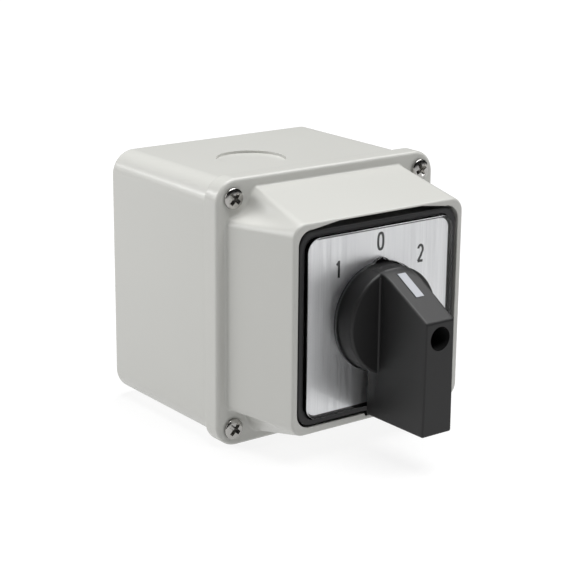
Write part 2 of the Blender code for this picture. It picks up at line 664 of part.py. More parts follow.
def build_mounting_plate():
    half, back, front = MOUNTING_PLATE_HALF, MOUNTING_PLATE_BACK, MOUNTING_PLATE_FRONT
    outline = rounded(half, half, BODY_CORNER, back, front, steps=3)
    plate = add_piece("mounting_plate", to_mesh(outline, "mounting_plate"), "body_plastic")
    cut_body_holes(plate, back, front)
    places = corners(PANEL_SCREW_PITCH_HALF, PANEL_SCREW_PITCH_HALF)
    cut(plate, rods(places, SMALL_HOLE_RADIUS, back - RUN, front + RUN))


def build_end_plate():
    outline = rounded(BODY_HALF, BODY_HALF, BODY_CORNER, END_PLATE_BACK, END_PLATE_FRONT, steps=3)
    plate = add_piece("end_plate", to_mesh(outline, "end_plate"), "body_plastic")
    cut_body_holes(plate, END_PLATE_BACK, END_PLATE_FRONT, BEARING_FLOOR)


def build_detent_housing():
    block = rounded(BODY_HALF, BODY_HALF, BODY_CORNER, DETENT_BACK, DETENT_FRONT, steps=3)
    housing = add_piece("detent_housing", to_mesh(block, "detent_housing"), "body_plastic")
    floor = DETENT_BACK + FLOOR
    pocket = rounded(DETENT_POCKET_HALF_X, DETENT_POCKET_HALF_Z, INNER_CORNER,
                     floor, DETENT_FRONT + RUN, steps=2)
    cut(housing, to_mesh(pocket, "pocket"))
    cut_body_holes(housing, DETENT_BACK, DETENT_FRONT)
    reach = STOP_TAB_HALF + STOP_POST_RADIUS + GAP
    angle = STOP_ANGLE + math.asin(reach / STOP_POST_AT)
    x, z = STOP_POST_AT * math.cos(angle), STOP_POST_AT * math.sin(angle)
    join(housing, rods([(x, z), (x, -z)], STOP_POST_RADIUS, floor - FLOOR / 2, STAR_BACK - GAP))


def build_tie_bolts():
    top = END_PLATE_BACK - GAP
    for number, (x, z) in enumerate(TIE_BOLTS, 1):
        head = rods([(x, z)], TIE_BOLT_HEAD_RADIUS, top - TIE_BOLT_HEAD, top, 6)
        bolt = add_piece(f"tie_bolt_{number}", head, "zinc_steel")
        join(bolt, rods([(x, z)], TIE_BOLT_RADIUS, top - TIE_BOLT_HEAD / 2, TIE_BOLT_END, SMALL_SIDES))


def contact_block_mesh():
    """Block with its back face at depth 0."""
    column = rounded(COLUMN_HALF_X, COLUMN_HALF_Z, INNER_CORNER, 0.0, BLOCK_LENGTH, steps=2)
    block = add_piece("contact_block", to_mesh(column, "contact_block"), "body_plastic")
    crossbar = rounded(BODY_HALF, BAR_HALF_Z, INNER_CORNER, 0.0, BLOCK_LENGTH, steps=2)
    join(block, to_mesh(crossbar, "crossbar"))
    chamber = box(CHAMBER_HALF_X, CHAMBER_HALF_Z, FLOOR, BLOCK_LENGTH + RUN)
    cut(block, to_mesh(chamber, "chamber"))
    cut(block, rods([(0.0, 0.0)], CAM_CHAMBER_RADIUS, FLOOR, BLOCK_LENGTH + RUN, 2 * MEDIUM_SIDES))
    cut_body_holes(block, 0.0, BLOCK_LENGTH)
    slot_back = CONTACT_LINE - STRIP_HALF_WIDTH - GAP
    for side_z in (1, -1):
        low, high = sorted((side_z * (STRIP_LOW - GAP), side_z * (STRIP_HIGH + GAP)))
        reach = COLUMN_HALF_X + GAP
        cut(block, bar((-reach, -BLOCK_LENGTH - RUN, low), (reach, -slot_back, high)))
        places = [(side_x * TERMINAL_X, -CONTACT_LINE) for side_x in (-1, 1)]
        low, high = sorted((side_z * (TERMINAL_TIP - GAP), side_z * (BAR_HALF_Z + RUN)))
        cut(block, posts(places, TERMINAL_HOLE_RADIUS, low, high))
    return bake(block)


def fixed_contact_mesh():
    """Right upper strip: pad at its inner end, terminal hole at its outer end."""
    strip = bar((STRIP_INNER_END, -STRIP_HALF_WIDTH, STRIP_LOW),
                (STRIP_OUTER_END, STRIP_HALF_WIDTH, STRIP_HIGH))
    contact = add_piece("fixed_contact", strip, "brass")
    join(contact, posts([(PAD_X, 0.0)], PAD_RADIUS, STRIP_HIGH - GAP, PAD_TOP))
    cut(contact, posts([(TERMINAL_X, 0.0)], TERMINAL_HOLE_RADIUS, STRIP_LOW - RUN, STRIP_HIGH + RUN))
    return bake(contact)


def terminal_screw_mesh():
    seat = STRIP_HIGH + GAP
    head = posts([(TERMINAL_X, 0.0)], TERMINAL_HEAD_RADIUS, seat, seat + TERMINAL_HEAD, MEDIUM_SIDES)
    screw = add_piece("terminal_screw", head, "zinc_steel")
    slot_floor = seat + TERMINAL_HEAD / 2
    join(screw, posts([(TERMINAL_X, 0.0)], TERMINAL_RADIUS, TERMINAL_TIP, slot_floor))
    reach = TERMINAL_HEAD_RADIUS + GAP
    cut(screw, bar((TERMINAL_X - reach, -GAP, slot_floor), (TERMINAL_X + reach, GAP, slot_floor + RUN)))
    return bake(screw)


def build_contact_blocks():
    block = contact_block_mesh()
    contact = fixed_contact_mesh()
    screw = terminal_screw_mesh()
    terminal = 0
    for number in range(BLOCK_COUNT):
        back = FIRST_BLOCK_BACK - number * BLOCK_PITCH
        add_piece(f"contact_block_{number + 1}", block, "body_plastic", (0.0, -back, 0.0))
        middle = (0.0, -back - CONTACT_LINE, 0.0)
        for turn in ((0.0, 0.0, 0.0), (0.0, 0.0, math.pi), (0.0, math.pi, 0.0), (math.pi, 0.0, 0.0)):
            terminal += 1
            add_piece(f"fixed_contact_{terminal}", contact, "brass", middle, turn)
            add_piece(f"terminal_screw_{terminal}", screw, "zinc_steel", middle, turn)


# ---------------------------------------------------------------- rotor

def ramp_point(share):
    """Point on the grip's ramp, as (depth, z), from its rear (0) to its front (1)."""
    return Vector((GRIP_REAR + (GRIP_FRONT - GRIP_REAR) * share,
                   GRIP_TOP_REAR + (GRIP_TOP_FRONT - GRIP_TOP_REAR) * share))


def grip_mesh():
    """Tapered lever: a box narrower at its front and its top, with a sloping top."""
    bm = bmesh.new()
    for vert in bmesh.ops.create_cube(bm, size=2.0)["verts"]:
        rear = vert.co.y > 0
        half = GRIP_HALF_REAR if rear else GRIP_HALF_FRONT
        top = GRIP_TOP_REAR if rear else GRIP_TOP_FRONT
        depth = GRIP_REAR if rear else GRIP_FRONT
        if vert.co.z > 0:
            vert.co = ((half - GRIP_TOP_NARROWING) * vert.co.x, -depth, top)
        else:
            vert.co = (half * vert.co.x, -depth, GRIP_BOTTOM)
    bmesh.ops.bevel(bm, geom=list(bm.edges), offset=GRIP_ROUNDING, segments=2, profile=0.5, affect="EDGES")
    return to_mesh(bm, "grip")


def trim_to_skirt(mesh):
    """The grip's mesh cut to the skirt's outline in its upper half."""
    bm = bmesh.new()
    angles = [math.pi * step / FINE_SIDES * 2 for step in range(FINE_SIDES // 2 + 1)]
    outline = [(SKIRT_RADIUS_FRONT * math.cos(a), SKIRT_RADIUS_FRONT * math.sin(a)) for a in angles]
    outline += [(-SKIRT_RADIUS_FRONT, GRIP_BOTTOM - RUN), (SKIRT_RADIUS_FRONT, GRIP_BOTTOM - RUN)]
    face = bm.faces.new([bm.verts.new((x, RUN - GRIP_REAR, z)) for x, z in outline])
    grown = bmesh.ops.extrude_face_region(bm, geom=[face])
    far = [item for item in grown["geom"] if isinstance(item, bmesh.types.BMVert)]
    bmesh.ops.translate(bm, verts=far, vec=(0.0, GRIP_REAR - GRIP_FRONT - 2 * RUN, 0.0))
    grip = add_piece("grip", mesh, "black_plastic")
    add_tool(grip, to_mesh(bm, "outline"), "INTERSECT")
    return bake(grip)


def indicator_bar(extra, rise):
    """Strip on the ramp, grown by extra on its sides and by rise on its outside."""
    rear, front = ramp_point(0.0), ramp_point(1.0)
    along = (front - rear).normalized()
    slope = math.atan2(rear.y - front.y, front.x - rear.x)
    middle = ramp_point(INDICATOR_START) + along * INDICATOR_LENGTH / 2
    bm = bmesh.new()
    size = Matrix.Diagonal((INDICATOR_WIDTH + 2 * extra, INDICATOR_LENGTH + 2 * extra,
                            INDICATOR_THICKNESS + rise, 1.0))
    place = Matrix.Translation((0.0, -middle.x, middle.y)) @ Matrix.Rotation(slope, 4, "X")
    sink = Matrix.Translation((0.0, 0.0, (rise - INDICATOR_THICKNESS) / 2))
    bmesh.ops.create_cube(bm, size=1.0, matrix=place @ sink @ size)
    return to_mesh(bm, "indicator_bar")


def build_handle(rotor):
    shoulder = SKIRT_SHOULDER * SKIRT_ROUNDING
    profile = [(0.0, SKIRT_FRONT), (SKIRT_RADIUS_FRONT - SKIRT_ROUNDING, SKIRT_FRONT),
               (SKIRT_RADIUS_FRONT - shoulder, SKIRT_FRONT - shoulder),
               (SKIRT_RADIUS_FRONT, SKIRT_FRONT - SKIRT_ROUNDING), (SKIRT_RADIUS_REAR, HOOD_FRONT),
               (SKIRT_RADIUS_REAR, SKIRT_REAR), (HUB_RADIUS, SKIRT_REAR),
               (HUB_RADIUS, HUB_BACK), (0.0, HUB_BACK)]
    handle = turned("handle", profile, "black_plastic", FINE_SIDES)
    handle.parent = rotor
    join(handle, trim_to_skirt(grip_mesh()))
    cut(handle, rods([(0.0, 0.0)], ACCESS_RADIUS, WEB_FRONT, GRIP_FRONT + RUN, MEDIUM_SIDES))
    cut(handle, rods([(0.0, 0.0)], SMALL_HOLE_RADIUS, WEB_BACK - RUN, WEB_FRONT + RUN))
    cut(handle, to_mesh(box(SOCKET_HALF, SOCKET_HALF, HUB_BACK - RUN, WEB_BACK), "socket"))
    pocket = indicator_bar(INDICATOR_MARGIN, RUN)
    pocket.transform(Matrix.Translation((0.0, 0.0, -INDICATOR_MARGIN)))
    cut(handle, pocket)
    add_piece("position_indicator", indicator_bar(0.0, INDICATOR_MARGIN), "indicator_white", parent=rotor)


def build_handle_screw(rotor):
    seat = WEB_FRONT + GAP
    mesh = pan_screw("handle_screw", "zinc_steel", HANDLE_SCREW_HEAD_RADIUS, HANDLE_SCREW_HEAD,
                     HANDLE_SCREW_RADIUS, seat, HANDLE_SCREW_TIP)
    add_piece("handle_screw", mesh, "zinc_steel", rotation=(math.pi / 2, 0.0, 0.0), parent=rotor)


def build_shaft(rotor):
    bar_mesh = to_mesh(box(SHAFT_HALF, SHAFT_HALF, SHAFT_BACK, SHAFT_FRONT), "shaft")
    shaft = add_piece("shaft", bar_mesh, "zinc_steel", parent=rotor)
    cut(shaft, rods([(0.0, 0.0)], SMALL_HOLE_RADIUS, SHAFT_FRONT - SHAFT_THREAD_DEPTH, SHAFT_FRONT + RUN))


def build_detent(rotor):
    star = []
    count = STAR_POINTS * STAR_STEPS
    for step in range(count):
        angle = 2 * math.pi * step / count
        radius = STAR_RADIUS - STAR_WAVE * math.cos(STAR_POINTS * (angle - math.pi / 2))
        star.append((radius * math.cos(angle), radius * math.sin(angle)))
    star_mesh = flat_outline([star], STAR_BACK, STAR_FRONT)
    wheel = add_piece("detent_wheel", star_mesh, "cam_plastic", parent=rotor)
    disc_back = DETENT_BACK + FLOOR + DETENT_PLAY
    join(wheel, rods([(0.0, 0.0)], STOP_DISC_RADIUS, disc_back, STAR_BACK + GAP, MEDIUM_SIDES))
    join(wheel, bar((0.0, -STAR_BACK - GAP, -STOP_TAB_HALF),
                    (STOP_TAB_END, -disc_back - GAP, STOP_TAB_HALF)))
    cut(wheel, to_mesh(box(SOCKET_HALF, SOCKET_HALF, disc_back - RUN, STAR_FRONT + RUN), "square"))
    middle = (STAR_FRONT + STAR_BACK) / 2
    mesh = leaf_mesh()
    for number, turn in enumerate((0.0, math.pi), 1):
        spring = add_piece(f"detent_spring_{number}", mesh, "spring_steel",
                           (0.0, -middle, 0.0), (0.0, turn, 0.0))
        thick = spring.modifiers.new("Strip", "SOLIDIFY")
        thick.thickness = LEAF_THICKNESS
        thick.offset = 0.0


def leaf_mesh():
    """Bowed strip whose middle dips into a notch of the detent wheel."""
    bm = bmesh.new()
    rows = []
    for step in range(LEAF_STEPS + 1):
        x = LEAF_HALF_SPAN * (2 * step / LEAF_STEPS - 1)
        z = LEAF_LOW + LEAF_RISE * (x / LEAF_HALF_SPAN) ** 2
        if abs(x) < LEAF_BUMP_HALF:
            z -= LEAF_BUMP * math.cos(math.pi * x / (2 * LEAF_BUMP_HALF)) ** 2
        rows.append([bm.verts.new((x, side * LEAF_HALF_WIDTH, z)) for side in (-1, 1)])
    for near, far in zip(rows, rows[1:]):
        bm.faces.new((near[0], far[0], far[1], near[1]))
    return to_mesh(bm, "detent_spring")


def cam_mesh():
    """Cam whose radius falls evenly with the angle from +Z towards +X, the same above and below."""
    upper = []
    for step in range(CAM_STEPS + 1):
        angle = math.pi * (step / CAM_STEPS - 0.5)
        radius = CAM_RADIUS - CAM_RATE * angle
        upper.append((radius * math.sin(angle), radius * math.cos(angle)))
    outline = upper + [(x, -z) for x, z in reversed(upper[1:-1])]
    return flat_outline([outline, square(SOCKET_HALF)], -CAM_HALF_THICKNESS, CAM_HALF_THICKNESS)


def plunger_mesh():
    nose = bar((-NOSE_HALF, -STEM_HALF, NOSE_TIP), (NOSE_HALF, STEM_HALF, STEM_FOOT + GAP))
    plunger = add_piece("plunger", nose, "cam_plastic")
    join(plunger, bar((-STEM_HALF, -STEM_HALF, STEM_FOOT), (STEM_HALF, STEM_HALF, SHOULDER)))
    join(plunger, posts([(0.0, 0.0)], POST_RADIUS, SHOULDER - GAP, POST_TOP))
    return bake(plunger)


def bridge_mesh():
    strip = bar((-BRIDGE_HALF_X, -BRIDGE_HALF_Y, BRIDGE_LOW),
                (BRIDGE_HALF_X, BRIDGE_HALF_Y, BRIDGE_HIGH))
    bridge = add_piece("contact_bridge", strip, "brass")
    join(bridge, posts([(-PAD_X, 0.0), (PAD_X, 0.0)], PAD_RADIUS, BRIDGE_PAD_BOTTOM, BRIDGE_LOW + GAP))
    cut(bridge, posts([(0.0, 0.0)], POST_RADIUS + GAP, BRIDGE_LOW - RUN, BRIDGE_HIGH + RUN))
    return bake(bridge)


def spring_curve():
    """Coil between the bridge and the chamber's outer wall."""
    curve = bpy.data.curves.new("contact_spring", "CURVE")
    curve.dimensions = "3D"
    curve.bevel_depth = SPRING_WIRE_RADIUS
    curve.bevel_resolution = 2
    curve.use_fill_caps = True
    spline = curve.splines.new("POLY")
    low = BRIDGE_HIGH + GAP + SPRING_WIRE_RADIUS
    high = CHAMBER_HALF_Z - GAP - SPRING_WIRE_RADIUS
    count = SPRING_TURNS * SPRING_STEPS + 1
    spline.points.add(count - 1)
    for step, point in enumerate(spline.points):
        angle = 2 * math.pi * step / SPRING_STEPS
        height = low + (high - low) * step / (count - 1)
        point.co = (SPRING_RADIUS * math.cos(angle), SPRING_RADIUS * math.sin(angle), height, 1.0)
    return curve


def build_contact_movement(rotor):
    cam, plunger, bridge, spring = cam_mesh(), plunger_mesh(), bridge_mesh(), spring_curve()
    number = 0
    for block in range(BLOCK_COUNT):
        depth = FIRST_BLOCK_BACK - block * BLOCK_PITCH + CONTACT_LINE
        add_piece(f"cam_{block + 1}", cam, "cam_plastic", (0.0, -depth, 0.0), parent=rotor)
        for turn in (0.0, math.pi):
            number += 1
            slide = add_axis(f"plunger_axis_{number}", (0.0, -depth, 0.0))
            slide.rotation_euler = (0.0, turn, 0.0)
            add_piece(f"plunger_{number}", plunger, "cam_plastic", parent=slide)
            add_piece(f"contact_bridge_{number}", bridge, "brass", parent=slide)
            add_piece(f"contact_spring_{number}", spring, "spring_steel", parent=slide)


# ---------------------------------------------------------------- assembly

clear_scene()
parts = new_collection("manual_transfer_switch")
cutters = new_collection("cutters")
materials = {name: new_material(name, *values) for name, values in MATERIALS.items()}

build_base()
build_cover()
build_gasket()
build_screws()
build_bezel()
build_dial()
build_mounting_plate()
build_end_plate()
build_detent_housing()
build_tie_bolts()
build_contact_blocks()
rotor_axis = add_axis("rotor_axis", (0.0, 0.0, 0.0))
build_handle(rotor_axis)
build_handle_screw(rotor_axis)
build_shaft(rotor_axis)
build_detent(rotor_axis)
build_contact_movement(rotor_axis)
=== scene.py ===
"""Looks of the manual transfer switch: fine shells, dial, handle, screws, springs and every material.

Frame: +X right as seen from the front, +Z up, the front faces -Y and the wall plane is y = 0.
A "depth" is a distance from the wall towards the front, so y = -depth. Lengths are metres.
"""

import math

import bmesh
import bpy
from mathutils import Matrix, Vector


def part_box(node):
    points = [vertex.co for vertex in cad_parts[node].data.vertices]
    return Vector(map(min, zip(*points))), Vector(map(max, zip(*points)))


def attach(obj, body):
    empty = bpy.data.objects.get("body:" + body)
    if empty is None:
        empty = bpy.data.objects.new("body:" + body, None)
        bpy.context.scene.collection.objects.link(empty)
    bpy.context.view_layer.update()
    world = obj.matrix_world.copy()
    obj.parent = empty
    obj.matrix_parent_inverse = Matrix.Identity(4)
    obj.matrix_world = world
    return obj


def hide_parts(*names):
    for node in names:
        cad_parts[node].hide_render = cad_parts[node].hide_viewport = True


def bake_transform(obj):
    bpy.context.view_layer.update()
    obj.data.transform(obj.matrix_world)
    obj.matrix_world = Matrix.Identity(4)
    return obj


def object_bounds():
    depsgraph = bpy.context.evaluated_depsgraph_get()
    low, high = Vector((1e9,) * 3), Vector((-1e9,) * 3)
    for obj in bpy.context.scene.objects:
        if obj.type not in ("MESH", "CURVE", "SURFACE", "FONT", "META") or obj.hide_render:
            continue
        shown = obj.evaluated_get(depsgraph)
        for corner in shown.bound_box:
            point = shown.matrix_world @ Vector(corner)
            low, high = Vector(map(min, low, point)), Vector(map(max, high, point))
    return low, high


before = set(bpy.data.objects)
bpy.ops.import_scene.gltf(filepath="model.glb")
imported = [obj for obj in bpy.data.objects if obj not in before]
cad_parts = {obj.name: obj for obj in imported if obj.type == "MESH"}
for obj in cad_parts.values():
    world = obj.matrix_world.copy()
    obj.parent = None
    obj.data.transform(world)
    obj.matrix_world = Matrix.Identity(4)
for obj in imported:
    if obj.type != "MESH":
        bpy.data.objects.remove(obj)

MM = 0.001
GAP = 0.3 * MM                # clearance that the CAD keeps between touching pieces
RUN = 4.0 * MM                # how far a cutter runs past an open face
WELD = 1e-6                   # points closer than this are one
QUARTER = math.pi / 2

cad_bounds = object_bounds()


# ------------------------------ sizes read from the frame

def half_sizes(node):
    low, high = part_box(node)
    return (high.x - low.x) / 2, (high.z - low.z) / 2


def depths(node):
    """Depths of a node's back and front."""
    low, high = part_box(node)
    return -high.y, -low.y


def places(name):
    """Middle (x, z) of each of four numbered nodes."""
    boxes = [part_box(f"{name}_{number}") for number in range(1, 5)]
    return [((low.x + high.x) / 2, (low.z + high.z) / 2) for low, high in boxes]


COVER_HALF = half_sizes("enclosure_cover")[0]
SKIRT_BACK, HOOD_FRONT = depths("enclosure_cover")
BASE_HALF_X, BASE_HALF_Z = half_sizes("enclosure_base")
TONGUE_TOP = depths("enclosure_base")[1]
BASE_DEPTH = SKIRT_BACK - GAP
FLANGE_BACK = depths("cover_gasket")[1] + GAP
BEZEL_HALF = half_sizes("bezel_frame")[0]
BEZEL_BACK, BEZEL_FRONT = depths("bezel_frame")
PANEL_FRONT = BEZEL_BACK - GAP
PANEL_BACK = depths("mounting_plate")[1] + GAP
LEGEND_HALF = half_sizes("legend_plate")[0]
WINDOW_HALF = half_sizes("clear_window")[0]
LEGEND_BACK, LEGEND_FRONT = depths("legend_plate")
WINDOW_BACK, WINDOW_FRONT = depths("clear_window")
POCKET_FLOOR = LEGEND_BACK - GAP
SKIRT_RADIUS = half_sizes("handle")[0]
HUB_BACK, GRIP_FRONT = depths("handle")
GRIP_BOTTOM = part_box("handle")[0].z
SCREW_TIP, SCREW_TOP = depths("cover_screw_1")
COVER_SCREWS = places("cover_screw")

# Box
WALL = 3.0 * MM
BASE_CORNER = 8.3 * MM
BASE_BACK_ROUNDING = 1.5 * MM
TONGUE_HALF = 42.6 * MM
TONGUE_CORNER = 5.6 * MM
TUB_FILLET = 1.0 * MM
COVER_CORNER = 8.0 * MM
COVER_EDGE = 1.3 * MM         # rounding of the flange's front edge
FLANGE_FRONT = FLANGE_BACK + WALL
SKIRT_WALL = 2.1 * MM
SEAM_EDGE = 0.4 * MM          # rounding of the tub's edge at the seam
SKIRT_EDGE = 0.7 * MM         # and of the cover's edge there
HOOD_FOOT_HALF_X = 41.5 * MM
HOOD_FOOT_HALF_Z = 41.4 * MM
HOOD_CUT_X = 11.7 * MM        # legs of the cut at each corner of the hood's foot
HOOD_CUT_Z = 10.2 * MM
HOOD_FOOT_SIDE_CORNER = 4.2 * MM
HOOD_FOOT_TOP_CORNER = 1.5 * MM
HOOD_FOOT_FILLET = 0.9 * MM
HOOD_RIM_HALF = 34.9 * MM
HOOD_RIM_CORNER = 5.0 * MM
HOOD_RIM_ROUNDING = 0.9 * MM
HOOD_WALL = 2.5 * MM
HOOD_INNER_CORNER = 0.5 * MM
PANEL_INNER_CORNER = 4.0 * MM
INNER_WALL_START = 10.0 * MM  # behind the panel, the hood's inner walls have reached the foot's outline
SCOOP_RADIUS = 6.0 * MM       # round the cover screws
SCOOP_BLEND = 1.6 * MM
SCOOP_WALL = 1.5 * MM
HOOD_SLOPE = math.atan2(HOOD_FOOT_HALF_X - HOOD_RIM_HALF, HOOD_FRONT - FLANGE_FRONT)

RECESS_HALF_X = 32.75 * MM
RECESS_HALF_Z = 32.5 * MM
RECESS_MIDDLE_Z = 0.1 * MM
RECESS_CORNER = 5.0 * MM
RECESS_EDGE = 0.2 * MM
CROWN_Z = 34.0 * MM           # the recess's top edge rises to this height over its middle
CROWN_HALF = 17.0 * MM
CROWN_FOOT_HALF = 29.4 * MM
CROWN_FOOT_Z = 32.3 * MM
NOTCH_HALF = 5.0 * MM         # pry notch in the recess's bottom edge
NOTCH_Z = -33.4 * MM
# Further points along the top and bottom of every outline
SIDE_STATIONS = [x * MM for x in (27.0, 22.0, 18.5, 17.0, 15.5, 5.3, 4.7)]

KNOCKOUT_RADIUS = 11.8 * MM
KNOCKOUT_X = -10.8 * MM
KNOCKOUT_DEPTH = 36.2 * MM
KNOCKOUT_RECESS = 0.8 * MM
WALL_HOLE_RADIUS = 2.25 * MM
WALL_HOLE_PITCH_HALF = 30.0 * MM
WALL_HOLE_SKIN = 0.8 * MM
DRILL_SPOT_RADIUS = 3.2 * MM  # shallow rounds on the back that mark the wall holes
DRILL_SPOT_DEPTH = 0.3 * MM
GATE_RADIUS = 2.4 * MM        # moulding gate mark in the middle of the back
BOSS_RADIUS = 4.6 * MM
BOSS_HOLE_BOTTOM = 44.0 * MM
SCREW_HOLE_RADIUS = 1.9 * MM
HUB_HOLE_RADIUS = 9.2 * MM

# Dial
BEZEL_CORNER = 5.0 * MM
BEZEL_ROUNDING = 0.5 * MM
POCKET_HALF = 30.2 * MM
POCKET_CORNER = 4.9 * MM
POCKET_EDGE = 0.25 * MM
LEGEND_CORNER = 3.7 * MM
WINDOW_CORNER = 4.6 * MM
WINDOW_ROUNDING = 0.35 * MM
WINDOW_BACK_EDGE = 0.1 * MM
LEGEND_BACK_EDGE = 0.05 * MM
HOLE_EDGE = 0.08 * MM
DIAL_HOLE_RADIUS = 18.3 * MM
DIAL_NOTCH_RADIUS = 3.4 * MM
DIAL_NOTCH_Z = 16.2 * MM
COUNTERBORE_RADIUS = 3.3 * MM
COUNTERBORE_FLOOR = 87.0 * MM
PANEL_HOLE_RADIUS = 1.8 * MM

# Handle
HANDLE_SKIRT_REAR = POCKET_FLOOR + 0.7 * MM
HANDLE_SKIRT_FRONT = HOOD_FRONT + 7.8 * MM
SKIRT_RADIUS_FRONT = SKIRT_RADIUS - 0.05 * MM
SKIRT_ROUNDING = 1.0 * MM
HUB_RADIUS = 8.0 * MM
GRIP_REAR = HANDLE_SKIRT_FRONT - GAP
GRIP_HALF_REAR = 6.45 * MM    # at its bottom
GRIP_HALF_FRONT = 6.05 * MM
GRIP_TOP_NARROWING = 0.35 * MM
GRIP_TOP_REAR = 18.07 * MM
GRIP_TOP_FRONT = 5.55 * MM
GRIP_ROUNDING = 0.7 * MM
GRIP_LEAST_ROUNDING = 0.02 * MM
GRIP_ROOT = HANDLE_SKIRT_FRONT - 5.0 * MM
GRIP_CORNER_STEPS = 5
GRIP_COLUMNS = 8              # points over half the grip's top
GRIP_STATIONS = 52
RAMP_BLEND = 2.2 * MM         # how softly the ramp runs into the skirt's outside
RAMP_PROUD = 0.02 * MM        # keeps the ramp's top just outside the skirt
GRIP_FILLET = 0.5 * MM
FILLET_SUNK = 0.8 * MM        # how deep the fillet's solid sits in the skirt
FILLET_INWARDS = 1.0 * MM     # and in the grip
FILLET_BELOW_TOP = 2.6 * MM
SKIRT_REAR_EDGE = 0.2 * MM
ACCESS_RADIUS = 3.6 * MM
ACCESS_EDGE = 0.3 * MM
WEB_FRONT = 103.0 * MM
WEB_BACK = 97.0 * MM
SOCKET_HALF = 3.3 * MM
INLAY_MARGIN = 0.06 * MM

# Cover screws: shares are of the head's radius or height
SCREW_SHANK_RADIUS = 1.6 * MM
SCREW_PITCH = 1.0 * MM
THREAD_ROOT = 0.8             # of the shank's radius
POINT_WIDTH = 0.7
POINT_LENGTH = 0.6 * MM
HEAD_SIDE = 0.38              # height of the head's upright side
HEAD_EDGE_HEIGHT = 0.06       # cut of its lower edge
HEAD_EDGE_WIDTH = 0.96
HEAD_STEPS = 10
HEAD_CURVE = 0.9
CROSS_LEVELS = ((0.10, 0.30, -0.5), (0.21, 0.72, 1.05), (0.21, 0.72, 1.6))   # half width, reach, height
CROSS_TURN = 38.0             # degrees that a cross in the middle would be turned
CROSS_TURN_BY_X = 9.0 / MM    # and degrees more for each metre to the right, so the four differ

SPRING_TURNS = 4
SPRING_STEPS = 20             # points in each turn
SPRING_WIRE = 0.35 * MM       # radius

NUMERAL_HEIGHT = 6.2 * MM
NUMERAL_WIDTH = 3.0 * MM
NUMERAL_STROKE = 0.88 * MM
NUMERAL_THICKNESS = 0.02 * MM
NUMERALS = (("0", 0.2 * MM, 24.75 * MM), ("1", -16.75 * MM, 18.2 * MM), ("2", 17.1 * MM, 18.25 * MM))

ARC_STEPS = 10
FACET_STEPS = 24              # points along the cut between a corner's two arcs
HOOD_STEPS = 22               # rings from the hood's foot to its rim
FINE_SIDES = 128
HOLE_SIDES = 32

# Floor, surroundings and lights
FLOOR_GAP = 0.05 * MM
FLOOR_HALF = 6.0
FLOOR_LIGHT = 0.60            # the floor's glow as a light, and as the camera sees it: a lit table,
FLOOR_GLOW = 0.84             # on which the object casts little shadow
WORLD_BRIGHT_SIDE = Vector((-0.24, 0.97, 0.0)).normalized()
WORLD_FRONT = 0.12
WORLD_BACK = 1.88
WORLD_FADE = (-0.35, 0.4)     # from dim to bright, as cosines to the bright side
SUN_STRENGTH = 3.85
SUN_SPREAD = 62.0             # degrees
SUN_DIRECTION = Vector((-0.22, 0.10, -0.97))
LIGHT_TARGET = (0.0, -0.05, 0.0)
SOFTBOXES = (("left_box", (-0.9, 0.55, 0.45), 0.8, 0.6, 6.0),          # name, place, width, height, watts
             ("edge_strip", (-0.83, 1.10, 0.48), 0.35, 0.05, 1.2))

# Camera, from the solved view
CAMERA_PLACE = (-0.334011, -0.489665, 0.161038)
CAMERA_YAW, CAMERA_PITCH, CAMERA_ROLL = math.radians(36.8), math.radians(16.354), math.radians(-0.544)
CAMERA_LENS = 105.075         # for a sensor 36 wide
CAMERA_SENSOR = 36.0


# ------------------------------ mesh tools

def finished(bm, angle=32.0):
    """Mesh of bm, smooth except over edges sharper than the angle in degrees."""
    bmesh.ops.recalc_face_normals(bm, faces=bm.faces)
    mesh = bpy.data.meshes.new("mesh")
    bm.to_mesh(mesh)
    bm.free()
    mesh.shade_smooth()
    mesh.set_sharp_from_angle(angle=math.radians(angle))
    return mesh


def carved(mesh, tools, angle=32.0):
    """The mesh after Boolean steps; tools are (operation, closed mesh) pairs."""
    work = bpy.data.objects.new("work", mesh)
    bpy.context.scene.collection.objects.link(work)
    helpers = []
    for operation, tool_mesh in tools:
        tool = bpy.data.objects.new("tool", tool_mesh)
        bpy.context.scene.collection.objects.link(tool)
        modifier = work.modifiers.new(operation.title(), "BOOLEAN")
        modifier.operation = operation
        modifier.object = tool
        helpers.append(tool)
    graph = bpy.context.evaluated_depsgraph_get()
    result = bpy.data.meshes.new_from_object(work.evaluated_get(graph))
    for helper in helpers + [work]:
        bpy.data.objects.remove(helper)
    bm = bmesh.new()
    bm.from_mesh(result)
    bmesh.ops.remove_doubles(bm, verts=bm.verts, dist=WELD)
    bmesh.ops.dissolve_degenerate(bm, edges=bm.edges, dist=WELD)
    return finished(bm, angle)


def drilled(mesh, *tools):
    return carved(mesh, [("DIFFERENCE", tool) for tool in tools])


def rods(spots, radius, back, front, sides=HOLE_SIDES):
    """Round rods along the depth, one at each (x, z)."""
    bm = bmesh.new()
    turn = Matrix.Rotation(QUARTER, 4, "X")
    for x, z in spots:
        place = Matrix.Translation((x, -(back + front) / 2, z))
        bmesh.ops.create_cone(bm, cap_ends=True, segments=sides, radius1=radius, radius2=radius,
                              depth=front - back, matrix=place @ turn)
    return finished(bm)


def posts(spots, radius, low, high, sides):
    """Upright round rods, one at each (x, depth)."""
    bm = bmesh.new()
    for x, depth in spots:
        place = Matrix.Translation((x, -depth, (low + high) / 2))
        bmesh.ops.create_cone(bm, cap_ends=True, segments=sides, radius1=radius, radius2=radius,
                              depth=high - low, matrix=place)
    return finished(bm)


def block(half_x, half_z, back, front):
    """Box about the handle's axis."""
    bm = bmesh.new()
    size = Matrix.Diagonal((2 * half_x, front - back, 2 * half_z, 1.0))
    place = Matrix.Translation((0.0, -(back + front) / 2, 0.0))
    bmesh.ops.create_cube(bm, size=1.0, matrix=place @ size)
    return finished(bm)


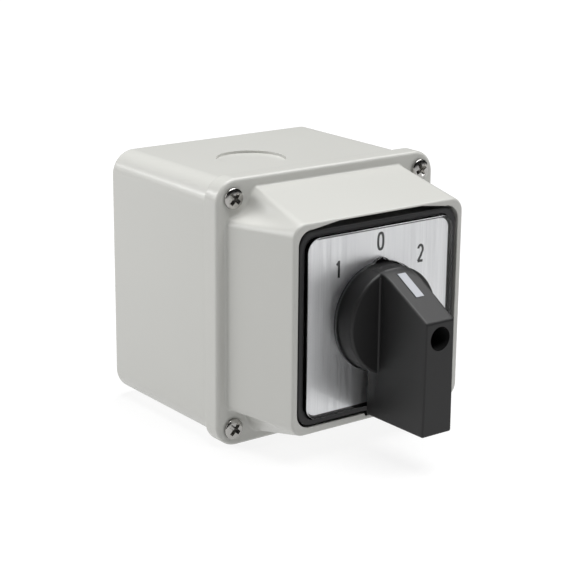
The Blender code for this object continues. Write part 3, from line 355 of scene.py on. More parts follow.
def prism(points, low, high):
    """Closed upright prism; points are (x, depth)."""
    bm = bmesh.new()
    ends = [[bm.verts.new((x, -depth, level)) for x, depth in points] for level in (low, high)]
    bm.faces.new(ends[0])
    bm.faces.new(reversed(ends[1]))
    for i in range(len(points)):
        j = (i + 1) % len(points)
        bm.faces.new((ends[0][i], ends[1][i], ends[1][j], ends[0][j]))
    return finished(bm)


def swept(rings, looped=False):
    """Solid through rings of equally many points: a closed loop of them, or capped at both ends."""
    bm = bmesh.new()
    grid = [[bm.verts.new(point) for point in ring] for ring in rings]
    pairs = list(zip(grid, grid[1:]))
    if looped:
        pairs.append((grid[-1], grid[0]))
    else:
        bm.faces.new(grid[0])
        bm.faces.new(grid[-1])
    count = len(grid[0])
    for near, far in pairs:
        for i in range(count):
            j = (i + 1) % count
            bm.faces.new((near[i], near[j], far[j], far[i]))
    bmesh.ops.remove_doubles(bm, verts=bm.verts, dist=WELD)
    bmesh.ops.dissolve_degenerate(bm, edges=bm.edges, dist=WELD)
    return finished(bm)


def turned(profile, sides, x=0.0, z=0.0):
    """Solid turned about the depth direction from (radius, depth) points that begin and end on the axis."""
    bm = bmesh.new()
    rings = []
    for radius, depth in profile:
        count = 1 if radius < WELD else sides
        rings.append([bm.verts.new((x + radius * math.cos(math.tau * i / sides), -depth,
                                    z + radius * math.sin(math.tau * i / sides))) for i in range(count)])
    for near, far in zip(rings, rings[1:]):
        for i in range(sides):
            j = (i + 1) % sides
            corner = [near[i % len(near)], near[j % len(near)], far[j % len(far)], far[i % len(far)]]
            bm.faces.new(list(dict.fromkeys(corner)))
    return finished(bm)


def arc(inset, depth, radius, start, stop, steps=6):
    """(inset, depth) points round a centre; 0 degrees points outwards and 90 to the front."""
    angles = [math.radians(start + (stop - start) * i / steps) for i in range(steps + 1)]
    return [(inset - radius * math.cos(a), depth + radius * math.sin(a)) for a in angles]


# ------------------------------ outlines of the box

CUT_NORMAL = Vector((HOOD_CUT_Z, HOOD_CUT_X)).normalized()
SPLIT = math.atan2(CUT_NORMAL.y, CUT_NORMAL.x)   # direction in which a corner's two arcs meet


def ring(centres, radii, depth, change=None):
    """Outline at one depth, symmetric about both axes. Each corner is two arcs and a straight."""
    half = []
    spans = ((0.0, SPLIT), (SPLIT, QUARTER))
    for (cx, cz), radius, (start, stop) in zip(centres, radii, spans):
        if half:
            near = Vector(half[-1])
            far = Vector((cx + radius * math.cos(start), cz + radius * math.sin(start)))
            half += [tuple(near.lerp(far, step / FACET_STEPS)) for step in range(1, FACET_STEPS)]
        for step in range(ARC_STEPS + 1):
            angle = start + (stop - start) * step / ARC_STEPS
            half.append((cx + radius * math.cos(angle), cz + radius * math.sin(angle)))
    half += [(x, half[-1][1]) for x in SIDE_STATIONS]
    upper = half + [(-x, z) for x, z in reversed(half)]
    points = upper + [(-x, -z) for x, z in upper]
    if change:
        points = [change(x, z) for x, z in points]
    return [Vector((x, -depth, z)) for x, z in points]


def rounded(half_x, half_z, corner):
    """Maker of a rounded rectangle's rings, given an inset and a depth."""
    centre = (half_x - corner, half_z - corner)
    return lambda inset, depth, change=None: ring((centre, centre), (corner - inset,) * 2, depth, change)


def cut_cornered(inset, side_radius, top_radius):
    """The same for the hood's foot with its corners cut off, the whole drawn inset to begin with."""
    cut = CUT_NORMAL.dot((HOOD_FOOT_HALF_X, HOOD_FOOT_HALF_Z - HOOD_CUT_Z)) - inset
    x = HOOD_FOOT_HALF_X - inset - side_radius
    z = HOOD_FOOT_HALF_Z - inset - top_radius
    centres = ((x, (cut - side_radius - CUT_NORMAL.x * x) / CUT_NORMAL.y),
               ((cut - top_radius - CUT_NORMAL.y * z) / CUT_NORMAL.x, z))
    return lambda more, depth: ring(centres, (side_radius - more, top_radius - more), depth)


def scooped(points, radius):
    """The ring with its points moved softly out of the round scoops about the cover screws."""
    moved = []
    for point in points:
        for x, z in COVER_SCREWS:
            away = Vector((point.x - x, 0.0, point.z - z))
            near = max(SCOOP_BLEND - abs(away.length - radius), 0.0) / SCOOP_BLEND
            wanted = max(away.length, radius) + near * near * SCOOP_BLEND / 4
            point = point + away.normalized() * (wanted - away.length)
        moved.append(point)
    return moved


def crown(x):
    """Height of the recess's relieved top edge."""
    share = min(max((abs(x) - CROWN_HALF) / (CROWN_FOOT_HALF - CROWN_HALF), 0.0), 1.0)
    return CROWN_Z + (CROWN_FOOT_Z - CROWN_Z) * share


def recess_point(grown):
    """Change of a ring's points that adds the crown and the pry notch, grown outwards."""
    def change(x, z):
        z += RECESS_MIDDLE_Z
        if z > 0.0 and abs(x) <= CROWN_FOOT_HALF:
            z = max(z, crown(x) + grown)
        elif z < 0.0 and abs(x) <= NOTCH_HALF:
            z = NOTCH_Z - grown
        return x, z
    return change


def rim_point(x, z):
    """Change of a ring's points that keeps the rim's rounding clear of the crown."""
    if z > 0.0 and abs(x) <= CROWN_FOOT_HALF:
        z = max(z, crown(x) + RECESS_EDGE)
    return x, z


def like_circle(points, radius, depth):
    """Ring on a circle, each point in the direction of its partner."""
    return [Vector((p.x, 0.0, p.z)).normalized() * radius - Vector((0.0, depth, 0.0)) for p in points]


# ------------------------------ the box

def cover_mesh():
    """Cover as one loop of rings: skirt, flange, hood, rim, recess, hub hole and the inside."""
    outside = rounded(COVER_HALF, COVER_HALF, COVER_CORNER)
    rings = [outside(*p) for p in arc(SKIRT_EDGE, SKIRT_BACK + SKIRT_EDGE, SKIRT_EDGE, -90, 0, 4)]
    rings += [outside(*p) for p in arc(COVER_EDGE, FLANGE_FRONT - COVER_EDGE, COVER_EDGE, 0, 90)]

    foot = cut_cornered(0.0, HOOD_FOOT_SIDE_CORNER, HOOD_FOOT_TOP_CORNER)
    centre_depth = FLANGE_FRONT + HOOD_FOOT_FILLET
    centre = HOOD_FOOT_FILLET * (math.tan(HOOD_SLOPE) - 1.0 / math.cos(HOOD_SLOPE))
    end = 180.0 + math.degrees(HOOD_SLOPE)
    fillet = arc(centre, centre_depth, HOOD_FOOT_FILLET, 270, end)
    rings += [scooped(foot(*p), SCOOP_RADIUS + p[0]) for p in fillet]

    rim = rounded(HOOD_RIM_HALF, HOOD_RIM_HALF, HOOD_RIM_CORNER)
    start = math.degrees(HOOD_SLOPE)
    radius = HOOD_RIM_ROUNDING
    edge = [rim(*p, rim_point) for p in arc(radius, HOOD_FRONT - radius, radius, start, 90)]
    low, high = foot(*fillet[-1]), edge[0]
    for step in range(1, HOOD_STEPS):
        between = [near.lerp(far, step / HOOD_STEPS) for near, far in zip(low, high)]
        rings.append(scooped(between, SCOOP_RADIUS + fillet[-1][0]))
    rings += edge

    recess = rounded(RECESS_HALF_X, RECESS_HALF_Z, RECESS_CORNER)
    for inset, depth in arc(-RECESS_EDGE, HOOD_FRONT - RECESS_EDGE, RECESS_EDGE, 90, 180, 3):
        rings.append(recess(inset, depth, recess_point(-inset)))
    rings.append(recess(0.0, PANEL_FRONT, recess_point(0.0)))
    rings.append(like_circle(rings[-1], HUB_HOLE_RADIUS, PANEL_FRONT))
    rings.append(like_circle(rings[-1], HUB_HOLE_RADIUS, PANEL_BACK))

    share = (PANEL_BACK - FLANGE_FRONT) / (HOOD_FRONT - FLANGE_FRONT)
    half = HOOD_FOOT_HALF_X + (HOOD_RIM_HALF - HOOD_FOOT_HALF_X) * share - HOOD_WALL
    rings.append(rounded(half, half, PANEL_INNER_CORNER)(0.0, PANEL_BACK))
    inside = cut_cornered(HOOD_WALL, HOOD_INNER_CORNER, HOOD_INNER_CORNER)
    for depth in (PANEL_BACK - INNER_WALL_START, FLANGE_FRONT, FLANGE_BACK):
        rings.append(scooped(inside(0.0, depth), SCOOP_RADIUS + SCOOP_WALL))
    inner = COVER_HALF - SKIRT_WALL
    skirt = rounded(inner, inner, COVER_CORNER - SKIRT_WALL)
    rings.append(skirt(0.0, FLANGE_BACK))
    rings.append(skirt(0.0, SKIRT_BACK))
    return drilled(swept(rings, looped=True),
                   rods(COVER_SCREWS, SCREW_HOLE_RADIUS, FLANGE_BACK - RUN, FLANGE_FRONT + RUN),
                   rods(places("panel_screw"), PANEL_HOLE_RADIUS, PANEL_BACK - RUN, PANEL_FRONT + RUN))


def base_mesh():
    """Tub with a tongue into the cover, screw bosses, blind wall holes and closed knockouts."""
    outside = rounded(BASE_HALF_X, BASE_HALF_Z, BASE_CORNER)
    back = BASE_BACK_ROUNDING
    rings = [outside(*p) for p in arc(back, back, back, -90, 0)]
    rings += [outside(*p) for p in arc(SEAM_EDGE, BASE_DEPTH - SEAM_EDGE, SEAM_EDGE, 0, 90, 3)]
    tongue = rounded(TONGUE_HALF, TONGUE_HALF, TONGUE_CORNER)
    rings.append(tongue(0.0, BASE_DEPTH))
    rings += [tongue(*p) for p in arc(SEAM_EDGE, TONGUE_TOP - SEAM_EDGE, SEAM_EDGE, 0, 90, 3)]

    tub = rounded(BASE_HALF_X - WALL, BASE_HALF_Z - WALL, BASE_CORNER - WALL)
    hollow = [tub(*p) for p in arc(TUB_FILLET, WALL + TUB_FILLET, TUB_FILLET, -90, 0, 4)]
    hollow.append(tub(0.0, TONGUE_TOP + RUN))
    bosses = rods(COVER_SCREWS, BOSS_RADIUS, -RUN, TONGUE_TOP + 2 * RUN)
    tub_mesh = drilled(swept(hollow), bosses)
    pitch = (WALL_HOLE_PITCH_HALF, -WALL_HOLE_PITCH_HALF)
    wall_holes = [(x, z) for x in pitch for z in pitch]
    spot = [(KNOCKOUT_X, KNOCKOUT_DEPTH)]
    floor = BASE_HALF_Z - KNOCKOUT_RECESS
    return drilled(swept(rings), tub_mesh,
                   rods(COVER_SCREWS, SCREW_HOLE_RADIUS, BOSS_HOLE_BOTTOM, TONGUE_TOP + RUN),
                   rods(wall_holes, WALL_HOLE_RADIUS, WALL_HOLE_SKIN, WALL + RUN),
                   posts(spot, KNOCKOUT_RADIUS, floor, floor + RUN, FINE_SIDES),
                   posts(spot, KNOCKOUT_RADIUS, -floor - RUN, -floor, FINE_SIDES),
                   rods(wall_holes, DRILL_SPOT_RADIUS, -RUN, DRILL_SPOT_DEPTH),
                   rods([(0.0, 0.0)], GATE_RADIUS, -RUN, DRILL_SPOT_DEPTH))


# ------------------------------ the dial

def dial_angles():
    """Directions round the dial, closer together at the corners and at the notch."""
    foot_z = (DIAL_HOLE_RADIUS ** 2 - DIAL_NOTCH_RADIUS ** 2 + DIAL_NOTCH_Z ** 2) / (2 * DIAL_NOTCH_Z)
    foot = math.degrees(math.acos(foot_z / DIAL_HOLE_RADIUS))   # where the notch meets the round hole
    degrees = [*range(0, 360, 3), 90 - foot, 90 + foot]
    for middle in (45, 135, 225, 315):
        degrees += [middle + 0.5 * step for step in range(-12, 13)]
    degrees += [90 + 0.6 * step for step in range(-18, 19)]
    return [math.radians(a) for a in sorted({round(a, 4) for a in degrees})]


def square_reach(half, corner):
    """Distance from the middle to a rounded square's edge, for a direction and an inset."""
    def reach(angle, inset):
        c, s = abs(math.cos(angle)), abs(math.sin(angle))
        side = half - inset
        middle = half - corner
        if side * min(c, s) <= middle * max(c, s):
            return side / max(c, s)
        return middle * (c + s) + math.sqrt((corner - inset) ** 2 - (middle * (c - s)) ** 2)
    return reach


def hole_reach(angle, inset):
    """The same for the dial hole with its notch; a positive inset makes the hole larger."""
    radius = DIAL_HOLE_RADIUS + inset
    small = DIAL_NOTCH_RADIUS + inset
    sideways = DIAL_NOTCH_Z * math.cos(angle)
    if math.sin(angle) > 0.0 and abs(sideways) < small:
        radius = max(radius, DIAL_NOTCH_Z * math.sin(angle) + math.sqrt(small ** 2 - sideways ** 2))
    return radius


def hub_reach(angle, inset):
    """The same for the round hole round the handle's hub."""
    return HUB_HOLE_RADIUS + inset


DIAL_ANGLES = dial_angles()


def dial_ring(reach, inset, depth):
    return [Vector((reach(a, inset) * math.cos(a), -depth, reach(a, inset) * math.sin(a)))
            for a in DIAL_ANGLES]


def plate_mesh(half, corner, back, front, back_edge, front_edge, hole_edge):
    """Square plate with the dial hole: outside from back to front, then the hole from front to back."""
    outside = square_reach(half, corner)
    rings = [dial_ring(outside, *p) for p in arc(back_edge, back + back_edge, back_edge, -90, 0, 3)]
    rings += [dial_ring(outside, *p) for p in arc(front_edge, front - front_edge, front_edge, 0, 90)]
    rings += [dial_ring(hole_reach, hole_edge - i, d) for i, d in
              arc(hole_edge, front - hole_edge, hole_edge, 90, 0, 4)]
    rings += [dial_ring(hole_reach, hole_edge - i, d) for i, d in
              arc(hole_edge, back + hole_edge, hole_edge, 0, -90, 4)]
    return swept(rings, looped=True)


def bezel_mesh():
    """Frame as one loop of rings: outside, rim, pocket, floor and the hole for the hub."""
    outside = square_reach(BEZEL_HALF, BEZEL_CORNER)
    pocket = square_reach(POCKET_HALF, POCKET_CORNER)
    rings = [dial_ring(outside, 0.0, BEZEL_BACK)]
    rings += [dial_ring(outside, *p) for p in
              arc(BEZEL_ROUNDING, BEZEL_FRONT - BEZEL_ROUNDING, BEZEL_ROUNDING, 0, 90)]
    rings += [dial_ring(pocket, *p) for p in
              arc(-POCKET_EDGE, BEZEL_FRONT - POCKET_EDGE, POCKET_EDGE, 90, 180, 4)]
    rings.append(dial_ring(pocket, 0.0, POCKET_FLOOR))
    rings.append(dial_ring(hub_reach, 0.0, POCKET_FLOOR))
    rings.append(dial_ring(hub_reach, 0.0, BEZEL_BACK))
    spots = places("panel_screw")
    return drilled(swept(rings, looped=True),
                   rods(spots, COUNTERBORE_RADIUS, COUNTERBORE_FLOOR, BEZEL_FRONT),
                   rods(spots, PANEL_HOLE_RADIUS, BEZEL_BACK - RUN, BEZEL_FRONT))


# ------------------------------ numerals

def numeral_paths(digit):
    """Middle lines of a digit's strokes, in a box one wide and one high about its middle."""
    if digit == "0":
        loop = []
        for step in range(48):
            angle = math.tau * step / 48
            c, s = math.cos(angle), math.sin(angle)
            loop.append((math.copysign(abs(c) ** 0.72, c) * 0.5, math.copysign(abs(s) ** 0.85, s) * 0.5))
        return [loop + loop[:2]]
    if digit == "1":
        return [[(0.05, 0.5), (0.05, -0.55)], [(0.1, 0.46), (-0.1, 0.34), (-0.38, 0.26)]]
    bow = []
    for step in range(17):
        angle = math.radians(165.0 - 215.0 * step / 16)
        bow.append((0.47 * math.cos(angle), 0.235 + 0.265 * math.sin(angle)))
    return [bow + [(0.05, -0.2), (-0.3, -0.39), (-0.44, -0.5)], [(-0.5, -0.5), (0.5, -0.5)]]


def stroke(bm, path, width):
    """Flat band along a path of (x, z)."""
    rows = []
    for i, (x, z) in enumerate(path):
        before, after = Vector(path[max(i - 1, 0)]), Vector(path[min(i + 1, len(path) - 1)])
        along = (after - before).normalized()
        side = Vector((-along.y, along.x)) * width / 2
        rows.append([bm.verts.new((x + k * side.x, -LEGEND_FRONT, z + k * side.y)) for k in (-1, 1)])
    for near, far in zip(rows, rows[1:]):
        bm.faces.new((near[0], far[0], far[1], near[1]))


def numeral_mesh(digit, x, z):
    """Thin raised digit on the legend plate's face."""
    bm = bmesh.new()
    high = NUMERAL_HEIGHT - NUMERAL_STROKE
    wide = NUMERAL_WIDTH - NUMERAL_STROKE
    for path in numeral_paths(digit):
        stroke(bm, [(x + wide * px, z + high * pz) for px, pz in path], NUMERAL_STROKE)
    flat = bmesh.ops.extrude_face_region(bm, geom=bm.faces[:])
    raised = [v for v in flat["geom"] if isinstance(v, bmesh.types.BMVert)]
    bmesh.ops.translate(bm, verts=raised, vec=(0.0, -NUMERAL_THICKNESS, 0.0))
    return finished(bm)


# ------------------------------ the handle

def grip_half(depth, z=GRIP_BOTTOM):
    """Half the grip's width, which shrinks towards the front and the top."""
    share = (depth - GRIP_REAR) / (GRIP_FRONT - GRIP_REAR)
    half = GRIP_HALF_REAR + (GRIP_HALF_FRONT - GRIP_HALF_REAR) * share
    return half - GRIP_TOP_NARROWING * (z - GRIP_BOTTOM) / (GRIP_TOP_REAR - GRIP_BOTTOM)


def grip_top(x, depth):
    """Height of the grip's top: the ramp, softly limited to the skirt's round outside."""
    share = (depth - GRIP_REAR) / (GRIP_FRONT - GRIP_REAR)
    ramp = GRIP_TOP_REAR + (GRIP_TOP_FRONT - GRIP_TOP_REAR) * share
    outside = math.sqrt((SKIRT_RADIUS + RAMP_PROUD) ** 2 - x * x)
    near = max(RAMP_BLEND - abs(ramp - outside), 0.0) / RAMP_BLEND
    return min(ramp, outside) - near * near * RAMP_BLEND / 4


def grip_ring(depth, inset):
    """Outline of the grip at one depth, drawn inset: rounded bottom corner, sloped top corner, top."""
    radius = max(GRIP_ROUNDING - inset, GRIP_LEAST_ROUNDING)
    points = []
    low, base = grip_half(depth) - GRIP_ROUNDING, GRIP_BOTTOM + GRIP_ROUNDING
    for step in range(GRIP_CORNER_STEPS + 1):
        angle = QUARTER * step / GRIP_CORNER_STEPS
        points.append((low + radius * math.sin(angle), base - radius * math.cos(angle)))
    edge = grip_half(depth, grip_top(GRIP_HALF_REAR, depth)) - GRIP_ROUNDING
    aside = 0.1 * MM
    tilt = math.atan2(grip_top(edge, depth) - grip_top(edge + aside, depth), aside)
    centre = grip_top(edge, depth) - GRIP_ROUNDING * math.cos(tilt)
    for step in range(GRIP_CORNER_STEPS + 1):
        angle = (QUARTER - tilt) * step / GRIP_CORNER_STEPS
        points.append((edge + radius * math.cos(angle), centre + radius * math.sin(angle)))
    for column in range(1, GRIP_COLUMNS + 1):
        x = edge * (1.0 - column / GRIP_COLUMNS)
        points.append((x, grip_top(x, depth) - GRIP_ROUNDING + radius))
    mirrored = [(-x, z) for x, z in reversed(points[:-1])]
    return [Vector((x, -depth, z)) for x, z in points + mirrored]


def grip_mesh():
    """Lever with a sloping top that runs into the skirt's outside, as a loft along the depth."""
    length = GRIP_FRONT - GRIP_ROUNDING - GRIP_ROOT
    rings = [grip_ring(GRIP_ROOT + length * step / GRIP_STATIONS, 0.0) for step in range(GRIP_STATIONS + 1)]
    for step in range(1, GRIP_CORNER_STEPS + 1):
        angle = QUARTER * step / GRIP_CORNER_STEPS
        depth = GRIP_FRONT - GRIP_ROUNDING * (1.0 - math.sin(angle))
        rings.append(grip_ring(depth, GRIP_ROUNDING * (1.0 - math.cos(angle))))
    return swept(rings)


def side_fillet(side):
    """Concave fillet between the skirt's front and one side of the grip."""
    sunk = HANDLE_SKIRT_FRONT - FILLET_SUNK
    inner = GRIP_HALF_FRONT - FILLET_INWARDS
    points = [(side * inner, sunk), (side * (GRIP_HALF_REAR + GRIP_FILLET), sunk)]
    for step in range(9):
        angle = QUARTER * step / 8
        depth = HANDLE_SKIRT_FRONT + GRIP_FILLET * (1.0 - math.cos(angle))
        points.append((side * (grip_half(depth) + GRIP_FILLET * (1.0 - math.sin(angle))), depth))
    points.append((side * inner, HANDLE_SKIRT_FRONT + GRIP_FILLET))
    edge = SKIRT_RADIUS_FRONT - SKIRT_ROUNDING
    trim = rods([(0.0, 0.0)], edge, sunk - RUN, HANDLE_SKIRT_FRONT + RUN, FINE_SIDES)
    return carved(prism(points, -SKIRT_RADIUS, GRIP_TOP_REAR - FILLET_BELOW_TOP), [("INTERSECT", trim)])


def handle_mesh():
    """Round skirt and hub with the lever on it, the screw's access hole and the shaft's socket."""
    front, rear = HANDLE_SKIRT_FRONT, HANDLE_SKIRT_REAR
    edge = [(SKIRT_RADIUS_FRONT - i, d) for i, d in
            arc(SKIRT_ROUNDING, front - SKIRT_ROUNDING, SKIRT_ROUNDING, 90, 0)]
    profile = [(0.0, front), *edge, (SKIRT_RADIUS, HOOD_FRONT), (SKIRT_RADIUS, rear + SKIRT_REAR_EDGE),
               (SKIRT_RADIUS - SKIRT_REAR_EDGE, rear), (HUB_RADIUS, rear), (HUB_RADIUS, HUB_BACK),
               (0.0, HUB_BACK)]
    bore = [(0.0, WEB_FRONT), (ACCESS_RADIUS, WEB_FRONT)]
    bore += [(ACCESS_RADIUS - i, d) for i, d in
             arc(-ACCESS_EDGE, GRIP_FRONT - ACCESS_EDGE, -ACCESS_EDGE, 0, 90, 4)]
    bore += [(ACCESS_RADIUS + ACCESS_EDGE, GRIP_FRONT + RUN), (0.0, GRIP_FRONT + RUN)]
    tools = [("UNION", grip_mesh()), ("UNION", side_fillet(1)), ("UNION", side_fillet(-1)),
             ("DIFFERENCE", turned(bore, HOLE_SIDES * 2)),
             ("DIFFERENCE", rods([(0.0, 0.0)], PANEL_HOLE_RADIUS, WEB_BACK - RUN, WEB_FRONT + RUN)),
             ("DIFFERENCE", block(SOCKET_HALF, SOCKET_HALF, HUB_BACK - RUN, WEB_BACK)),
             ("DIFFERENCE", indicator_pocket())]
    return carved(turned(profile, FINE_SIDES), tools)


def indicator_pocket():
    """Pocket round the inlay on the ramp, with an even gap."""
    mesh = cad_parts["position_indicator"].data
    middle = sum((v.co for v in mesh.vertices), Vector()) / len(mesh.vertices)
    bm = bmesh.new()
    bm.from_mesh(mesh)
    bmesh.ops.remove_doubles(bm, verts=bm.verts, dist=WELD)
    slope = math.atan2(GRIP_TOP_REAR - GRIP_TOP_FRONT, GRIP_FRONT - GRIP_REAR)
    level = Matrix.Rotation(-slope, 3, "X")
    for vert in bm.verts:
        flat = level @ (vert.co - middle)
        grown = [v + math.copysign(INLAY_MARGIN, v) for v in flat]
        if flat.z > 0:
            grown[2] = flat.z + RUN
        vert.co = middle + level.inverted() @ Vector(grown)
    return finished(bm)


# ------------------------------ screws and springs

def screw_mesh(x, z, head_radius):
    """Pan-head screw with a cross recess and thread grooves on its shank."""
    seat = FLANGE_FRONT + GAP
    height = SCREW_TOP - seat
    shank = SCREW_SHANK_RADIUS
    profile = []
    for step in range(HEAD_STEPS):
        angle = QUARTER * step / HEAD_STEPS
        rise = HEAD_SIDE + (1.0 - HEAD_SIDE) * math.cos(angle) ** HEAD_CURVE
        profile.append((head_radius * math.sin(angle), seat + height * rise))
    profile += [(head_radius, seat + HEAD_SIDE * height), (head_radius, seat + HEAD_EDGE_HEIGHT * height),
                (HEAD_EDGE_WIDTH * head_radius, seat), (shank, seat)]
    depth = seat - SCREW_PITCH
    while depth > SCREW_TIP + 2 * SCREW_PITCH:
        profile += [(shank, depth), (THREAD_ROOT * shank, depth - SCREW_PITCH / 2)]
        depth -= SCREW_PITCH
    profile += [(POINT_WIDTH * shank, SCREW_TIP + POINT_LENGTH), (0.0, SCREW_TIP)]
    return drilled(turned(profile, 48, x, z), cross_mesh(x, z, head_radius, seat, height))


def cross_mesh(x, z, head_radius, seat, height):
    """Tapered cross: twelve-cornered outlines, wide at the top and narrow at the bottom."""
    tilt = math.radians(CROSS_TURN + CROSS_TURN_BY_X * x)
    tilt_c, tilt_s = head_radius * math.cos(tilt), head_radius * math.sin(tilt)
    rings = []
    for arm, reach, level in CROSS_LEVELS:
        quarter = [(reach, arm), (arm, arm), (arm, reach)]
        points = []
        for turn in range(4):
            c, s = round(math.cos(turn * QUARTER)), round(math.sin(turn * QUARTER))
            points += [(c * px - s * pz, s * px + c * pz) for px, pz in quarter]
        rings.append([Vector((x + tilt_c * px - tilt_s * pz, -seat - level * height,
                              z + tilt_s * px + tilt_c * pz)) for px, pz in points])
    return swept(rings)


def coil(name, node, hand):
    """Fine coil spring in the place of a coarse one, along Z, with its lowest and highest z."""
    low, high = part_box(node)
    radius = (high.x - low.x) / 2 - SPRING_WIRE
    curve = bpy.data.curves.new(name, "CURVE")
    curve.dimensions = "3D"
    curve.bevel_depth = SPRING_WIRE
    curve.bevel_resolution = 3
    curve.use_fill_caps = True
    spline = curve.splines.new("POLY")
    count = SPRING_TURNS * SPRING_STEPS + 1
    spline.points.add(count - 1)
    start, stop = low.z + SPRING_WIRE, high.z - SPRING_WIRE
    for step, point in enumerate(spline.points):
        angle = math.tau * step / SPRING_STEPS * hand
        height = start + (stop - start) * step / (count - 1)
        point.co = (radius * math.cos(angle), (low.y + high.y) / 2 + radius * math.sin(angle), height, 1.0)
    drawn = bpy.data.objects.new(name, curve)
    bpy.context.scene.collection.objects.link(drawn)
    graph = bpy.context.evaluated_depsgraph_get()
    mesh = bpy.data.meshes.new_from_object(drawn.evaluated_get(graph))
    bpy.data.objects.remove(drawn)
    bm = bmesh.new()
    bm.from_mesh(mesh)
    bmesh.ops.remove_doubles(bm, verts=bm.verts, dist=WELD)
    return finished(bm, 60.0), low.z, high.z


# ------------------------------ materials

def set_range(node, start, stop, low, high):
    """Numbers of a Map Range node."""
    for socket, number in (("From Min", start), ("From Max", stop), ("To Min", low), ("To Max", high)):
        node.inputs[socket].default_value = number


class Surface:
    """A material with one Principled shader; constants are set on its own sockets."""

    def __init__(self, name, **constants):
        self.material = bpy.data.materials.new(name)
        self.material.use_nodes = True
        self.tree = self.material.node_tree
        self.shader = self.tree.nodes["Principled BSDF"]
        for socket, value in constants.items():
            self.shader.inputs[socket.replace("_", " ")].default_value = value
        self.coordinates = self.tree.nodes.new("ShaderNodeTexCoord").outputs["Object"]

    def noise(self, scale, stretch=(1.0, 1.0, 1.0), detail=2.0, roughness=0.5, offset=0.0):
        """Noise with this many features per metre, times the stretch along each axis."""
        mapping = self.tree.nodes.new("ShaderNodeMapping")
        mapping.inputs["Scale"].default_value = stretch
        mapping.inputs["Location"].default_value = (offset, offset, offset)
        self.tree.links.new(self.coordinates, mapping.inputs["Vector"])
        texture = self.tree.nodes.new("ShaderNodeTexNoise")
        texture.inputs["Scale"].default_value = scale
        texture.inputs["Detail"].default_value = detail
        texture.inputs["Roughness"].default_value = roughness
        self.tree.links.new(mapping.outputs["Vector"], texture.inputs["Vector"])
        return texture.outputs["Fac"]

    def spread(self, value, low, high, start=0.3, stop=0.7):
        """The value's range from start to stop mapped to low..high."""
        node = self.tree.nodes.new("ShaderNodeMapRange")
        set_range(node, start, stop, low, high)
        self.tree.links.new(value, node.inputs["Value"])
        return node.outputs["Result"]

    def blend(self, factor, first, second):
        """Colour between two colours or sockets."""
        node = self.tree.nodes.new("ShaderNodeMix")
        node.data_type = "RGBA"
        self.tree.links.new(factor, node.inputs["Factor"])
        for socket, colour in ((node.inputs[6], first), (node.inputs[7], second)):
            if isinstance(colour, tuple):
                socket.default_value = (*colour, 1.0)
            else:
                self.tree.links.new(colour, socket)
        return node.outputs[2]

    def colour(self, socket):
        self.tree.links.new(socket, self.shader.inputs["Base Color"])
        return self

    def roughness(self, socket):
        self.tree.links.new(socket, self.shader.inputs["Roughness"])
        return self

    def bump(self, *heights):
        """Layers of relief, each (height socket, distance in metres, strength)."""
        normal = None
        for height, distance, strength in heights:
            node = self.tree.nodes.new("ShaderNodeBump")
            node.inputs["Distance"].default_value = distance
            node.inputs["Strength"].default_value = strength
            self.tree.links.new(height, node.inputs["Height"])
            if normal:
                self.tree.links.new(normal, node.inputs["Normal"])
            normal = node.outputs["Normal"]
        self.tree.links.new(normal, self.shader.inputs["Normal"])
        return self


def moulded(name, light, dark, rough, grain, relief, peel=0.0):
    """Moulded plastic: two close tones, slightly uneven gloss, fine grain, perhaps a ripple."""
    s = Surface(name, IOR=1.47)
    s.colour(s.blend(s.spread(s.noise(16.0, detail=2.0), 0.0, 1.0), light, dark))
    s.roughness(s.spread(s.noise(40.0, detail=0.0, offset=0.5), 0.95 * rough, rough))
    layers = [(s.noise(grain, detail=2.0, offset=0.3), relief, 0.6)]
    if peel:
        layers.append((s.noise(110.0, detail=0.0), peel, 0.4))
    return s.bump(*layers).material


def metal(name, light, dark, rough, grain, stretch=(1.0, 1.0, 1.0), relief=3e-6):
    """Metal with cloudy tone, drawn or tumbled marks and uneven gloss."""
    s = Surface(name, Metallic=1.0)
    marks = s.noise(grain, stretch, detail=4.0, roughness=0.6)
    s.colour(s.blend(s.spread(s.noise(140.0, detail=4.0), 0.0, 1.0), light, dark))
    s.roughness(s.spread(marks, rough * 0.75, rough * 1.35))
    return s.bump((marks, relief, 0.5)).material


def brushed_plate():
    """Aluminium sheet brushed upright: long streaks in tone, gloss and relief."""
    s = Surface("brushed_plate", Metallic=1.0, Anisotropic=0.5)
    fine = s.noise(6000.0, (1.0, 1.0, 0.012), detail=2.0, roughness=0.7)
    broad = s.noise(1800.0, (1.0, 1.0, 0.015), detail=2.0, roughness=0.6, offset=0.7)
    tone = s.blend(s.spread(broad, 0.0, 1.0), (0.97, 0.97, 0.98), (0.88, 0.88, 0.895))
    s.colour(s.blend(s.spread(fine, 0.0, 0.3), tone, (0.84, 0.84, 0.86)))
    s.roughness(s.spread(broad, 0.285, 0.44))
    s.bump((fine, 1.2e-5, 0.8), (broad, 4.2e-5, 1.0))
    tangent = s.tree.nodes.new("ShaderNodeTangent")
    tangent.direction_type = "RADIAL"
    tangent.axis = "Z"
    s.tree.links.new(tangent.outputs["Tangent"], s.shader.inputs["Tangent"])
    return s.material


def clear_plastic():
    """Clear sheet with faint haze and waves."""
    s = Surface("window_clear", IOR=1.38, Transmission_Weight=1.0)
    s.shader.inputs["Base Color"].default_value = (0.985, 0.99, 0.99, 1.0)
    haze = s.noise(700.0, detail=4.0)
    s.roughness(s.spread(haze, 0.0, 0.03))
    return s.bump((s.noise(45.0, detail=1.0), 6e-6, 0.25)).material


